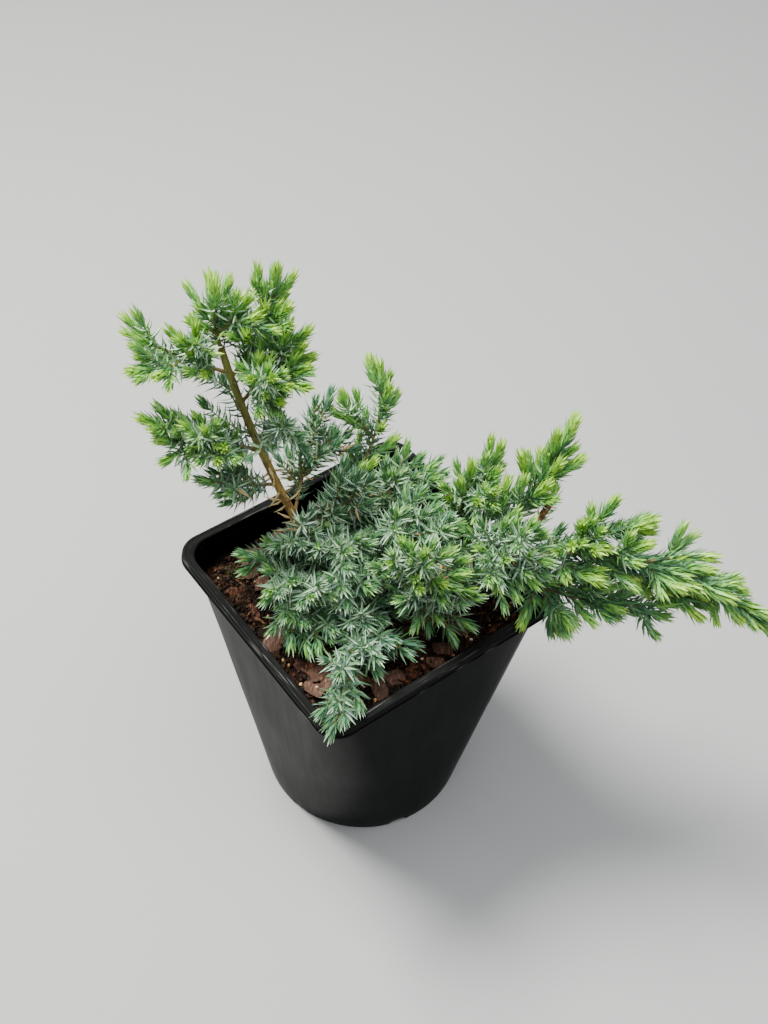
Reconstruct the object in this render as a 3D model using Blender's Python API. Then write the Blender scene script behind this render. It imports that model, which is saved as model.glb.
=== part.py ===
"""Young spreading juniper with awl needles, planted in a black square-to-round nursery pot.

Metres, +Z up. The origin is the middle of the pot's flat underside, +X runs along the long
arm of the shrub and the pot stands turned by POT_TURN, corner towards -Y.
The trunk and the boughs are tapering tubes. Each mass of foliage is a few leads with side
shoots, grown by one seeded rule, and every shoot is a slim three-sided core that whorls of
three needles stand out of. Touching solids keep CLEAR between them.
"""
import math
import random
from collections import namedtuple

import bmesh
import bpy
from mathutils import Vector, noise
from mathutils.kdtree import KDTree

MM = 0.001
CLEAR = 0.3 * MM
UP = Vector((0, 0, 1))

# Pot
POT_TURN = math.radians(37.8)
POT_HEIGHT = 185 * MM
RIM_HALF = 82.5 * MM
RIM_CORNER = 15 * MM
FLANGE_WIDTH = 6.5 * MM
FLANGE_THICK = 1.8 * MM
LIP_DROP = 6 * MM
LIP_THICK = 1.4 * MM
WALL = 1.6 * MM
FLOOR = 2.4 * MM
BASE_RADIUS = 65 * MM
BASE_CHAMFER = 1.5 * MM
EDGE_ROUND = 0.7 * MM
WALL_RINGS = 4
CORNER_POINTS = 6
SIDE_POINTS = 2
DRAIN_NOTCHES = 6
DRAIN_RADIUS = 6.5 * MM
DRAIN_REACH = 14 * MM
DRAIN_DROP = 1 * MM
DRAIN_OFFSET = math.radians(15)
DRAIN_SIDES = 16

# Potting mix
MIX_LEVEL = 166 * MM
MIX_LUMP = 2.6 * MM
LUMP_WIDTH = 14 * MM
MIX_RINGS = 5
MIX_CLEAR = 0.6 * MM
FOOT_PATCH = 13 * MM

# Limbs
LIMB_STEP = 8 * MM
FOOT = Vector((-26 * MM, 18 * MM, MIX_LEVEL + CLEAR))
FLARE_HEIGHT = 9 * MM
FLARE_WIDTH = 2.2 * MM
UNDERCUT_BLOCK = 60 * MM
CUT_CLEAR = 0.35 * MM
NEIGHBOUR_BOUGHS = 0.08
THICKEST_LIMB = 9 * MM

# Shoots and needles
GOLDEN_ANGLE = math.radians(137.5)
LEAD_RADIUS = (1.8 * MM, 1.5 * MM)
SHOOT_RADIUS = (1.8 * MM, 1.5 * MM)
SHOOT_LENGTH = 23 * MM
SHOOT_PITCH = 9.5 * MM
SHOOT_SPREAD = (math.radians(58), math.radians(32))
SHOOT_START = 3 * MM
SHOOT_END = 12 * MM
LEAVE_TRUNK = 6 * MM
TWIG_STEP = 2 * MM
WHORL_STEP = 12 * MM
NEEDLE_LENGTH = 11 * MM
NEEDLE_OPEN = math.radians(54)
NEEDLE_CLOSED = math.radians(18)
TIP_REACH = 4.5 * MM
BARE_ROOT = 3.5 * MM
SHORTEST_TWIG = 9 * MM
TWIG_GAP = 4.6 * MM
FORK_FREE = 10 * MM
FORK_GAP = 3.2 * MM
LIMB_GAP = 0.7 * MM
CELL_MARGIN = 1.7 * MM
POT_GAP = 1.5 * MM

# Lengths and radii are in millimetres. A heading is in degrees and holds at the tip: the limb
# has turned and lifted that far since its root, or carries on from its carrier's own tip.
Limb = namedtuple("Limb", "name on at azimuth rise length turn lift root tip")
Lead = namedtuple("Lead", "at azimuth rise length lift")
Mass = namedtuple("Mass", "name on at seed leads")

TRUNK = Limb("trunk", None, 0.0, 164, 78, 159, 15, 22, 2.7, 2.1)

BOUGHS = (
    Limb("back_bough", "trunk", 0.15, 47, 26, 30, -5, 12, 1.9, 1.4),
    Limb("back_right_bough", "trunk", 0.11, 25, 21, 31, -7, 5, 1.6, 1.2),
    Limb("right_bough", "trunk", 0.05, -8, 15, 102, 14, -6, 2.4, 1.9),
    Limb("right_arm", "right_bough", 1.0, -10, 26, 36, -5, 3, 1.8, 1.4),
    Limb("centre_back_bough", "right_bough", 0.22, -36, 59, 28, 4, 5, 1.5, 1.2),
    Limb("centre_bough", "right_bough", 0.38, -61, 39, 28, 0, 10, 1.6, 1.2),
    Limb("centre_low_bough", "right_bough", 0.52, -63, 19, 23, -4, 2, 1.5, 1.2),
    Limb("right_upper_bough", "right_bough", 0.62, 36, 33, 20, -4, 5, 1.5, 1.2),
    Limb("right_mid_bough", "right_bough", 0.8, -28, 42, 24, 4, 5, 1.4, 1.2),
    Limb("right_back_bough", "right_bough", 0.9, 25, 41, 22, -4, 6, 1.5, 1.2),
    Limb("right_low_bough", "right_arm", 0.15, -26, -11, 16, -5, -3, 1.3, 1.2),
    Limb("stub_bough", "right_arm", 0.4, 35, 56, 41, 0, 20, 1.7, 2.0),
    Limb("arm_upper_bough", "right_arm", 0.62, 4, 23, 20, -4, 2, 1.3, 1.2),
    Limb("front_bough", "trunk", 0.03, -68, 17, 28, -4, -1, 1.7, 1.2),
)

MASSES = (
    Mass("leader_top", "trunk", 1.0, 11, (
        Lead(0.0, 89, 62, 42, 15),
        Lead(0.25, 3, 65, 34, 20),
        Lead(0.3, -142, 49, 22, 10))),
    Mass("leader_left", "trunk", 0.9, 12, (
        Lead(0.0, -169, 39, 64, 10),
        Lead(0.45, -111, 24, 33, 10),
        Lead(0.35, -70, 78, 42, 20),
        Lead(0.15, -94, 39, 30, 10))),
    Mass("leader_right", "trunk", 0.77, 13, (
        Lead(0.0, 4, 73, 66, 20),
        Lead(0.35, -27, 43, 39, 15),
        Lead(0.3, -71, 49, 54, 10),
        Lead(0.45, -12, 53, 33, 15),
        Lead(0.2, -56, 32, 39, 10))),
    Mass("leader_low_left", "trunk", 0.56, 14, (
        Lead(0.0, -150, 44, 87, 10),
        Lead(0.5, -136, 33, 34, 5),
        Lead(0.35, -97, 60, 47, 15),
        Lead(0.3, -83, 44, 37, 5))),
    Mass("leader_front", "trunk", 0.88, 15, (
        Lead(0.0, 30, 79, 73, 30),
        Lead(0.35, -94, 62, 27, 20),
        Lead(0.45, -43, 77, 26, 10))),
    Mass("leader_low", "trunk", 0.4, 16, (
        Lead(0.0, -137, 39, 62, 5),)),
    Mass("leader_rosette", "trunk", 0.62, 17, (
        Lead(0.0, -54, 55, 60, 15),)),
    Mass("back_left", "trunk", 0.25, 18, (
        Lead(0.0, 77, 56, 72, 20),
        Lead(0.35, 41, 48, 36, 15),
        Lead(0.3, 96, 65, 26, 10),
        Lead(0.45, -20, 59, 23, 10))),
    Mass("mid_back", "trunk", 0.19, 19, (
        Lead(0.0, 2, 59, 64, 25),
        Lead(0.4, 47, 85, 29, 25))),
    Mass("low_left", "trunk", 0.11, 20, (
        Lead(0.0, -144, 25, 50, 10),
        Lead(0.4, -148, 60, 22, 10))),
    Mass("mid_left", "trunk", 0.22, 21, (
        Lead(0.0, -91, 46, 48, 25),
        Lead(0.45, -45, 50, 29, 15))),
    Mass("mid_front", "trunk", 0.15, 22, (
        Lead(0.0, -62, 50, 80, 20),
        Lead(0.4, -36, 53, 49, 25),
        Lead(0.35, -58, 26, 62, 10),
        Lead(0.2, -73, 31, 63, 10))),
    Mass("front_left", "trunk", 0.05, 23, (
        Lead(0.0, -111, 37, 78, 10),
        Lead(0.45, -90, -10, 49, -5),
        Lead(0.35, -76, -5, 59, -5),
        Lead(0.35, -78, 43, 53, 20))),
    Mass("back_top", "back_bough", 1.0, 24, (
        Lead(0.0, 111, 69, 90, 15),
        Lead(0.5, 154, 61, 36, 20),
        Lead(0.55, -69, 59, 22, 15))),
    Mass("back_right", "back_right_bough", 1.0, 25, (
        Lead(0.0, 68, 70, 59, 15),
        Lead(0.45, -1, 48, 39, 15),
        Lead(0.4, -47, 48, 38, 15),
        Lead(0.3, -36, 83, 34, 20))),
    Mass("centre_back", "centre_back_bough", 1.0, 26, (
        Lead(0.0, -52, 74, 52, 15),
        Lead(0.4, 5, 45, 39, 15),
        Lead(0.35, -19, 36, 53, 10))),
    Mass("centre", "centre_bough", 1.0, 27, (
        Lead(0.0, -84, 75, 73, 15),
        Lead(0.4, -16, 46, 40, 15),
        Lead(0.4, -136, 61, 29, 15),
        Lead(0.35, -52, 38, 38, 5))),
    Mass("centre_low", "centre_low_bough", 1.0, 28, (
        Lead(0.0, -78, 71, 62, 15),
        Lead(0.4, -136, 35, 32, 10),
        Lead(0.35, -52, -41, 32, -5),
        Lead(0.5, -32, 37, 34, 10),
        Lead(0.3, -107, -14, 25, 0))),
    Mass("right_upper", "right_upper_bough", 1.0, 29, (
        Lead(0.0, 12, 78, 72, 12),
        Lead(0.35, -133, 83, 29, 15),
        Lead(0.45, -56, 56, 33, 10),
        Lead(0.3, 67, 80, 34, 15),
        Lead(0.25, -147, 71, 24, 5))),
    Mass("right_mid", "right_mid_bough", 1.0, 30, (
        Lead(0.0, -11, 71, 57, 15),
        Lead(0.35, -81, 47, 30, 15),
        Lead(0.3, -87, 7, 29, 10),
        Lead(0.45, -1, 82, 25, 10),
        Lead(0.35, -135, 47, 25, 10),
        Lead(0.4, -55, 4, 33, 0))),
    Mass("right_back", "right_back_bough", 1.0, 31, (
        Lead(0.0, 45, 66, 86, 10),
        Lead(0.5, -20, 67, 25, 5),
        Lead(0.45, 152, 73, 27, 15))),
    Mass("right_low", "right_low_bough", 1.0, 32, (
        Lead(0.0, 6, 10, 99, 5),
        Lead(0.5, -27, 5, 18, 0),
        Lead(0.35, -50, -13, 22, 0),
        Lead(0.2, -68, -25, 29, 0),
        Lead(0.15, -112, -25, 26, 0),
        Lead(0.25, -12, 56, 31, 5),
        Lead(0.4, -4, 33, 28, 0))),
    Mass("stub_needles", "stub_bough", 1.0, 33, (
        Lead(0.0, 131, 63, 17, 5),)),
    Mass("arm_upper", "arm_upper_bough", 1.0, 34, (
        Lead(0.0, -12, 37, 62, -4),
        Lead(0.3, -111, 74, 27, 10),
        Lead(0.35, -62, 33, 26, 0),
        Lead(0.2, -100, 48, 30, 5))),
    Mass("arm_tip", "right_arm", 1.0, 35, (
        Lead(0.0, -23, -38, 144, -62),
        Lead(0.42, 2, -3, 39, -20),
        Lead(0.42, -8, -27, 44, -10),
        Lead(0.3, -13, -23, 56, 0),
        Lead(0.12, -30, 47, 24, 10),
        Lead(0.6, 2, -27, 37, -12),
        Lead(0.25, -11, -8, 48, 0))),
    Mass("front_drop", "front_bough", 1.0, 36, (
        Lead(0.0, -108, -3, 116, -10),
        Lead(0.35, -64, 2, 38, 0),
        Lead(0.25, -40, 4, 48, 0),
        Lead(0.12, -75, 51, 32, 15),
        Lead(0.1, -50, 28, 44, 8))),
)

# Colour, roughness
LOOKS = {
    "pot": ((0.012, 0.013, 0.014), 0.38),
    "potting_mix": ((0.045, 0.022, 0.013), 0.9),
    "trunk": ((0.30, 0.19, 0.05), 0.7),
    "bough": ((0.20, 0.17, 0.05), 0.7),
    "foliage": ((0.10, 0.22, 0.10), 0.55),
}


def clear_scene():
    for thing in list(bpy.data.objects):
        bpy.data.objects.remove(thing, do_unlink=True)


def new_collection(name):
    group = bpy.data.collections.new(name)
    bpy.context.scene.collection.children.link(group)
    return group


def new_object(name, mesh, group):
    thing = bpy.data.objects.new(name, mesh)
    group.objects.link(thing)
    return thing


def move_to(thing, group):
    for old in list(thing.users_collection):
        old.objects.unlink(thing)
    group.objects.link(thing)
    return thing


def paint(thing, look):
    colour, roughness = LOOKS[look]
    material = bpy.data.materials.new(thing.name)
    material.use_nodes = True
    shader = material.node_tree.nodes["Principled BSDF"]
    shader.inputs["Base Color"].default_value = (*colour, 1)
    shader.inputs["Roughness"].default_value = roughness
    thing.data.materials.clear()
    thing.data.materials.append(material)


def cut(thing, cutter):
    """Takes the cutter's shape out of an object and removes the cutter."""
    modifier = thing.modifiers.new("cut", "BOOLEAN")
    modifier.object = cutter
    modifier.operation = "DIFFERENCE"
    modifier.solver = "EXACT"
    bake_modifiers(thing)
    bpy.data.objects.remove(cutter, do_unlink=True)


def bake_modifiers(thing):
    bpy.context.view_layer.update()
    graph = bpy.context.evaluated_depsgraph_get()
    baked = bpy.data.meshes.new_from_object(thing.evaluated_get(graph), depsgraph=graph)
    thing.modifiers.clear()
    thing.data = baked


# Pot and potting mix

def pot_turned(x, y):
    """A place given along the pot's own sides, in world axes."""
    c, s = math.cos(POT_TURN), math.sin(POT_TURN)
    return c * x - s * y, s * x + c * y


def along_sides(point):
    """A world place measured along the pot's own sides."""
    c, s = math.cos(POT_TURN), math.sin(POT_TURN)
    return c * point.x + s * point.y, -s * point.x + c * point.y


def ring_directions():
    """Where each point of a ring lies: its corner arc's angle, and how far along a side."""
    points = []
    for corner in range(4):
        for k in range(CORNER_POINTS):
            points.append((corner, k / (CORNER_POINTS - 1), 0.0))
        for k in range(1, SIDE_POINTS):
            points.append((corner, 1.0, k / SIDE_POINTS))
    return points


def square_ring(half, corner_radius, z):
    ring = []
    for corner, bend, run in ring_directions():
        angle = math.radians(90) * (corner + bend)
        centre = half - corner_radius
        middle = math.radians(90) * corner + math.radians(45)
        x = centre * math.copysign(1, math.cos(middle)) + corner_radius * math.cos(angle)
        y = centre * math.copysign(1, math.sin(middle)) + corner_radius * math.sin(angle)
        x -= 2 * centre * run * math.sin(angle)
        y += 2 * centre * run * math.cos(angle)
        ring.append(Vector((*pot_turned(x, y), z)))
    return ring


def round_ring(radius, z):
    ring = []
    count = len(ring_directions())
    lead = math.radians(90) * SIDE_POINTS / (count / 4) / 2
    for k in range(count):
        angle = 2 * math.pi * k / count + lead
        ring.append(Vector((*pot_turned(radius * math.cos(angle), radius * math.sin(angle)), z)))
    return ring


def wall_ring(z, inset):
    """The pot's wall at height z: a circle at the foot that turns into the rim's square."""
    rise = z / POT_HEIGHT
    top_half = RIM_HALF - FLANGE_WIDTH + WALL
    foot = round_ring(BASE_RADIUS - inset, z)
    top = square_ring(top_half - inset, RIM_CORNER - inset, z)
    return [a.lerp(b, rise) for a, b in zip(foot, top)]


def loft(name, rings, group, centre_top=None):
    """Skins the rings in order, with a flat cap under the first and over the last."""
    work = bmesh.new()
    rows = [[work.verts.new(p) for p in ring] for ring in rings]
    count = len(rows[0])
    for low, high in zip(rows, rows[1:]):
        for k in range(count):
            n = (k + 1) % count
            work.faces.new((low[k], low[n], high[n], high[k]))
    work.faces.new(list(reversed(rows[0])))
    if centre_top is None:
        work.faces.new(rows[-1])
    else:
        middle = work.verts.new(centre_top)
        for k in range(count):
            work.faces.new((rows[-1][k], rows[-1][(k + 1) % count], middle))
    bmesh.ops.recalc_face_normals(work, faces=work.faces)
    mesh = bpy.data.meshes.new(name)
    work.to_mesh(mesh)
    work.free()
    return new_object(name, mesh, group)


def make_pot(parts, cutters):
    under_flange = POT_HEIGHT - FLANGE_THICK
    inner_half = RIM_HALF - FLANGE_WIDTH
    rings = [wall_ring(0, BASE_CHAMFER), wall_ring(BASE_CHAMFER, 0)]
    for k in range(1, WALL_RINGS):
        rings.append(wall_ring(under_flange * k / WALL_RINGS, 0))
    rings.append(wall_ring(under_flange, 0))
    lip_half = RIM_HALF - LIP_THICK
    rings.append(square_ring(lip_half, RIM_CORNER - LIP_THICK, under_flange))
    rings.append(square_ring(lip_half, RIM_CORNER - LIP_THICK, POT_HEIGHT - LIP_DROP))
    rings.append(square_ring(RIM_HALF, RIM_CORNER, POT_HEIGHT - LIP_DROP))
    rings.append(square_ring(RIM_HALF, RIM_CORNER, POT_HEIGHT - EDGE_ROUND))
    rings.append(square_ring(RIM_HALF - EDGE_ROUND, RIM_CORNER - EDGE_ROUND, POT_HEIGHT))
    inner_corner = RIM_CORNER - WALL
    rings.append(square_ring(inner_half + EDGE_ROUND, inner_corner + EDGE_ROUND, POT_HEIGHT))
    rings.append(wall_ring(POT_HEIGHT - EDGE_ROUND, WALL))
    for k in range(WALL_RINGS - 1, 0, -1):
        rings.append(wall_ring(under_flange * k / WALL_RINGS, WALL))
    rings.append(wall_ring(FLOOR, WALL))
    pot = loft("pot", rings, parts)
    for k in range(DRAIN_NOTCHES):
        angle = 2 * math.pi * k / DRAIN_NOTCHES + POT_TURN + DRAIN_OFFSET
        reach = BASE_RADIUS - DRAIN_REACH / 2 + WALL
        bpy.ops.mesh.primitive_cylinder_add(
            vertices=DRAIN_SIDES, radius=DRAIN_RADIUS, depth=DRAIN_REACH,
            location=(reach * math.cos(angle), reach * math.sin(angle), -DRAIN_DROP),
            rotation=(0, math.radians(90), angle))
        cut(pot, move_to(bpy.context.object, cutters))
    paint(pot, "pot")
    return pot


def mix_height(x, y):
    """Top of the potting mix: low lumps, and a flat patch for the trunk's foot."""
    away = math.hypot(x - FOOT.x, y - FOOT.y)
    swell = min(1.0, max(0.0, (away - FOOT_PATCH) / FOOT_PATCH))
    place = Vector((x, y, 0)) / LUMP_WIDTH
    lump = noise.noise(place) + 0.5 * noise.noise(2 * place)
    return MIX_LEVEL + MIX_LUMP * swell * (lump - 0.4)


def make_mix(parts):
    gap = WALL + MIX_CLEAR
    bottom = FLOOR + CLEAR
    rings = []
    for k in range(WALL_RINGS):
        rings.append(wall_ring(bottom + (MIX_LEVEL - bottom) * k / WALL_RINGS, gap))
    outer = wall_ring(MIX_LEVEL, gap)
    for k in range(MIX_RINGS):
        share = 1 - k / MIX_RINGS
        ring = [Vector((p.x * share, p.y * share, mix_height(p.x * share, p.y * share))) for p in outer]
        rings.append(ring)
    mix = loft("potting_mix", rings, parts, Vector((0, 0, mix_height(0, 0))))
    paint(mix, "potting_mix")
    return mix


# Limbs

def heading(azimuth, rise):
    """Unit vector from degrees round +Z and degrees above level."""
    a, r = math.radians(azimuth), math.radians(rise)
    return Vector((math.cos(a) * math.cos(r), math.sin(a) * math.cos(r), math.sin(r)))


def sweep(start, first, last, length, step):
    """Points of a limb that leaves along first and has turned to last at its tip."""
    count = max(3, round(length / step))
    points = [start.copy()]
    for k in range(count):
        way = first.lerp(last, (k + 0.5) / count).normalized()
        points.append(points[-1] + way * (length / count))
    return points


def place_at(points, share):
    """Point and direction at a share of a run of evenly spaced points."""
    run = share * (len(points) - 1)
    k = min(int(run), len(points) - 2)
    return points[k].lerp(points[k + 1], run - k), (points[k + 1] - points[k]).normalized()


def limb_radius(limb, share):
    """Taper in metres, with a flare at the trunk's foot."""
    radius = (limb.root + (limb.tip - limb.root) * share) * MM
    if limb.on is None:
        height = share * limb.length * MM
        radius += FLARE_WIDTH * max(0.0, 1 - height / FLARE_HEIGHT) ** 2
    return radius


def limb_paths():
    """Centre lines of the trunk and boughs by name, each from its carrier's centre line."""
    paths = {}
    for limb in (TRUNK, *BOUGHS):
        first = heading(limb.azimuth - limb.turn, limb.rise - limb.lift)
        last = heading(limb.azimuth, limb.rise)
        start = FOOT
        if limb.on is not None:
            start, way = place_at(paths[limb.on], limb.at)
            if limb.at == 1.0:
                start, first = start + way * CLEAR, way
        paths[limb.name] = sweep(start, first, last, limb.length * MM, LIMB_STEP)
    return paths


def limb_tube(limb, path, group, grow=0.0, sink=0.0):
    """Closed tapering tube round a centre line, made from a bevelled curve."""
    curve = bpy.data.curves.new(limb.name, "CURVE")
    curve.dimensions = "3D"
    curve.bevel_depth = MM
    curve.bevel_resolution = 2 if limb.on is None else 1
    curve.use_fill_caps = True
    points = list(path)
    if sink:
        points[0] = points[0] - (points[1] - points[0]).normalized() * sink
    spline = curve.splines.new("POLY")
    spline.points.add(len(points) - 1)
    for k, point in enumerate(points):
        spline.points[k].co = (*point, 1)
        spline.points[k].radius = (limb_radius(limb, k / (len(points) - 1)) + grow) / MM
    tube = new_object(limb.name, curve, group)
    bpy.context.view_layer.update()
    graph = bpy.context.evaluated_depsgraph_get()
    mesh = bpy.data.meshes.new_from_object(tube.evaluated_get(graph), depsgraph=graph)
    weld = bmesh.new()
    weld.from_mesh(mesh)
    bmesh.ops.remove_doubles(weld, verts=weld.verts, dist=0.01 * MM)
    bmesh.ops.recalc_face_normals(weld, faces=weld.faces)
    weld.to_mesh(mesh)
    weld.free()
    solid = new_object(limb.name + "_solid", mesh, group)
    solid.matrix_world = tube.matrix_world
    bpy.data.objects.remove(tube, do_unlink=True)
    bpy.data.curves.remove(curve)
    return solid


def make_trunk(paths, parts, cutters):
    """The trunk starts under the mix's top and is cut flat just above it."""
    trunk = limb_tube(TRUNK, paths["trunk"], parts, sink=FLARE_HEIGHT)
    centre = (FOOT.x, FOOT.y, FOOT.z - UNDERCUT_BLOCK / 2)
    bpy.ops.mesh.primitive_cube_add(size=UNDERCUT_BLOCK, location=centre)
    cut(trunk, move_to(bpy.context.object, cutters))
    trunk.name = "trunk"
    paint(trunk, "trunk")
    return trunk


def make_boughs(paths, parts, cutters):
    """Each bough is cut clear of its carrier and of the boughs that leave near it."""
    made = []
    limbs = {limb.name: limb for limb in (TRUNK, *BOUGHS)}
    for limb in BOUGHS:
        bough = limb_tube(limb, paths[limb.name], parts)
        if limb.at < 1.0:
            carrier = limbs[limb.on]
            mates = [b for b in made if b.on == limb.on and abs(b.at - limb.at) < NEIGHBOUR_BOUGHS]
            for other in (carrier, *mates):
                cut(bough, limb_tube(other, paths[other.name], cutters, grow=CUT_CLEAR, sink=2 * MM))
                keep_largest(bough)
        bough.name = limb.name
        paint(bough, "bough")
        made.append(limb)


# Shoots

class Twig:
    """One lead or shoot: its points TWIG_STEP apart and its root and tip radius."""

    def __init__(self, points, radii, owner, bare):
        self.points = points
        self.radii = radii
        self.owner = owner
        self.bare = bare


class Room:
    """What a mass has to stay clear of: the limbs, the pot and the twigs of other masses."""

    def __init__(self, paths):
        self.limbs = []
        for limb in (TRUNK, *BOUGHS):
            points = paths[limb.name]
            fine = 4 * (len(points) - 1)
            for k in range(fine + 1):
                point, _ = place_at(points, k / fine)
                self.limbs.append((point, limb_radius(limb, k / fine), limb.name))
        self.limb_tree = KDTree(len(self.limbs))
        for k, (point, _, _) in enumerate(self.limbs):
            self.limb_tree.insert(point, k)
        self.limb_tree.balance()
        self.twigs = []

    def hits_limb(self, point, gap, but=None):
        for _, k, away in self.limb_tree.find_range(point, THICKEST_LIMB):
            _, radius, name = self.limbs[k]
            if name != but and away < radius + gap:
                return True
        return False

    def hits_pot(self, point, gap):
        u, w = along_sides(point)
        out = max(abs(u), abs(w))
        inside = RIM_HALF - FLANGE_WIDTH - gap
        if out < inside:
            return point.z < MIX_LEVEL + MIX_LUMP + gap
        return out < RIM_HALF + gap and point.z < POT_HEIGHT + gap

    def hits_twig(self, point, owner, run):
        for twig in self.twigs:
            gap = TWIG_GAP
            if twig.owner == owner:
                if run < FORK_FREE:
                    continue
                gap = FORK_GAP
            if (twig.points[0] - point).length > gap + twig_length(twig.points):
                continue
            if any((p - point).length < gap for p in twig.points):
                return True
        return False

    def trim(self, points, owner, free=0.0, but=None):
        """The first points of a run that stay clear of everything of another owner."""
        kept = []
        run = 0.0
        for k, point in enumerate(points):
            if k:
                run += (point - points[k - 1]).length
            if run > free:
                blocked = self.hits_limb(point, LIMB_GAP + SHOOT_RADIUS[0], but)
                blocked = blocked or self.hits_pot(point, POT_GAP + SHOOT_RADIUS[0])
                if blocked or self.hits_twig(point, owner, run):
                    break
            kept.append(point)
        return kept


def twig_length(points):
    return (len(points) - 1) * TWIG_STEP


def cross_axis(way):
    """Two unit vectors square to a direction, turning with it."""
    side = way.cross(UP)
    if side.length < 0.05:
        side = way.cross(Vector((0, 1, 0)))
    side.normalize()
    return side, side.cross(way).normalized()


def shoot_run(point, way, roll, along, length):
    """A side shoot stands out more the older it is, then bends forward and a little up to the
    light."""
    side, rise = cross_axis(way)
    out = side * math.cos(roll) + rise * math.sin(roll)
    spread = SHOOT_SPREAD[0] + (SHOOT_SPREAD[1] - SHOOT_SPREAD[0]) * along
    first = (way * math.cos(spread) + out * math.sin(spread)).normalized()
    last = (first + way * 1.1 + UP * 0.3).normalized()
    return sweep(point, first, last, length, TWIG_STEP)


def grow_leads(mass, paths, room):
    """The leads of a mass: the first from its carrier, the others from along the first."""
    leads = []
    for k, lead in enumerate(mass.leads):
        first = heading(lead.azimuth, lead.rise - lead.lift)
        last = heading(lead.azimuth, lead.rise)
        free, but = 0.0, None
        if k == 0:
            start, way = place_at(paths[mass.on], mass.at)
            but = mass.on
            if mass.at == 1.0:
                start, first = start + way * CLEAR, way
            else:
                free = LEAVE_TRUNK
        else:
            start, _ = place_at(leads[0].points, lead.at)
        length = lead.length * MM - TIP_REACH
        points = room.trim(sweep(start, first, last, length, TWIG_STEP), mass.name, free, but)
        if k == 0 and twig_length(points) < SHORTEST_TWIG:
            raise ValueError(mass.name + " has no room for its first lead")
        if twig_length(points) > SHORTEST_TWIG:
            bare = BARE_ROOT + free
            leads.append(Twig(points, LEAD_RADIUS, mass.name, bare))
            room.twigs.append(leads[-1])
    return leads


def grow_shoot(mass, twig, along, roll, length, room):
    """One side shoot, cut short where it would touch something, or None if too little is left."""
    point, way = place_at(twig.points, along)
    run = room.trim(shoot_run(point, way, roll, along, length), mass.name)
    if twig_length(run) < SHORTEST_TWIG:
        return None
    shoot = Twig(run, SHOOT_RADIUS, mass.name, BARE_ROOT)
    room.twigs.append(shoot)
    return shoot


def grow_shoots(mass, leads, room):
    """Side shoots a golden angle apart along each lead, whose root and tip stay free of them."""
    rng = random.Random(mass.seed)
    grown = []
    for twig in leads:
        roll = rng.uniform(0, 2 * math.pi)
        length = twig_length(twig.points)
        first = twig.bare + SHOOT_START
        last = length - SHOOT_END
        count = max(0, round((last - first) / SHOOT_PITCH))
        for k in range(count):
            along = (first + (last - first) * (k + 0.5) / count) / length
            roll += GOLDEN_ANGLE + rng.uniform(-0.3, 0.3)
            reach = SHOOT_LENGTH * (1.15 - 0.5 * along) * rng.uniform(0.8, 1.2)
            shoot = grow_shoot(mass, twig, along, roll, reach, room)
            if shoot is not None:
                grown.append(shoot)
    return grown


def whorl_angle(share):
    """Needles stand out at the root of a shoot and close over its bud."""
    return NEEDLE_OPEN + (NEEDLE_CLOSED - NEEDLE_OPEN) * share ** 2


def needle_length(share):
    return NEEDLE_LENGTH * (0.85 + 0.3 * math.sin(math.pi * min(1, share * 1.2)) - 0.2 * share)


def tree_of(twigs):
    points = [p for twig in twigs for p in twig.points]
    tree = KDTree(len(points))
    for k, point in enumerate(points):
        tree.insert(point, k)
    tree.balance()
    return tree


class Cell:
    """The space of one shoot: nearer to it than to the other shoots of its mass, nearer by a
    margin than to any other mass, and clear of the limbs, the mix and the pot."""

    def __init__(self, room, twig):
        self.room = room
        self.own = tree_of([twig])
        self.mates = tree_of([t for t in room.twigs if t.owner == twig.owner and t is not twig])
        self.others = tree_of([t for t in room.twigs if t.owner != twig.owner])

    def holds(self, point):
        own = self.own.find(point)[2]
        mate = self.mates.find(point)[2]
        if mate is not None and mate < own:
            return False
        if self.others.find(point)[2] - own < CELL_MARGIN:
            return False
        if self.room.hits_limb(point, LIMB_GAP):
            return False
        return not self.room.hits_pot(point, POT_GAP)

    def holds_needle(self, root, tip):
        return all(self.holds(root.lerp(tip, share)) for share in (0.3, 0.55, 0.8, 1.0))


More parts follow.
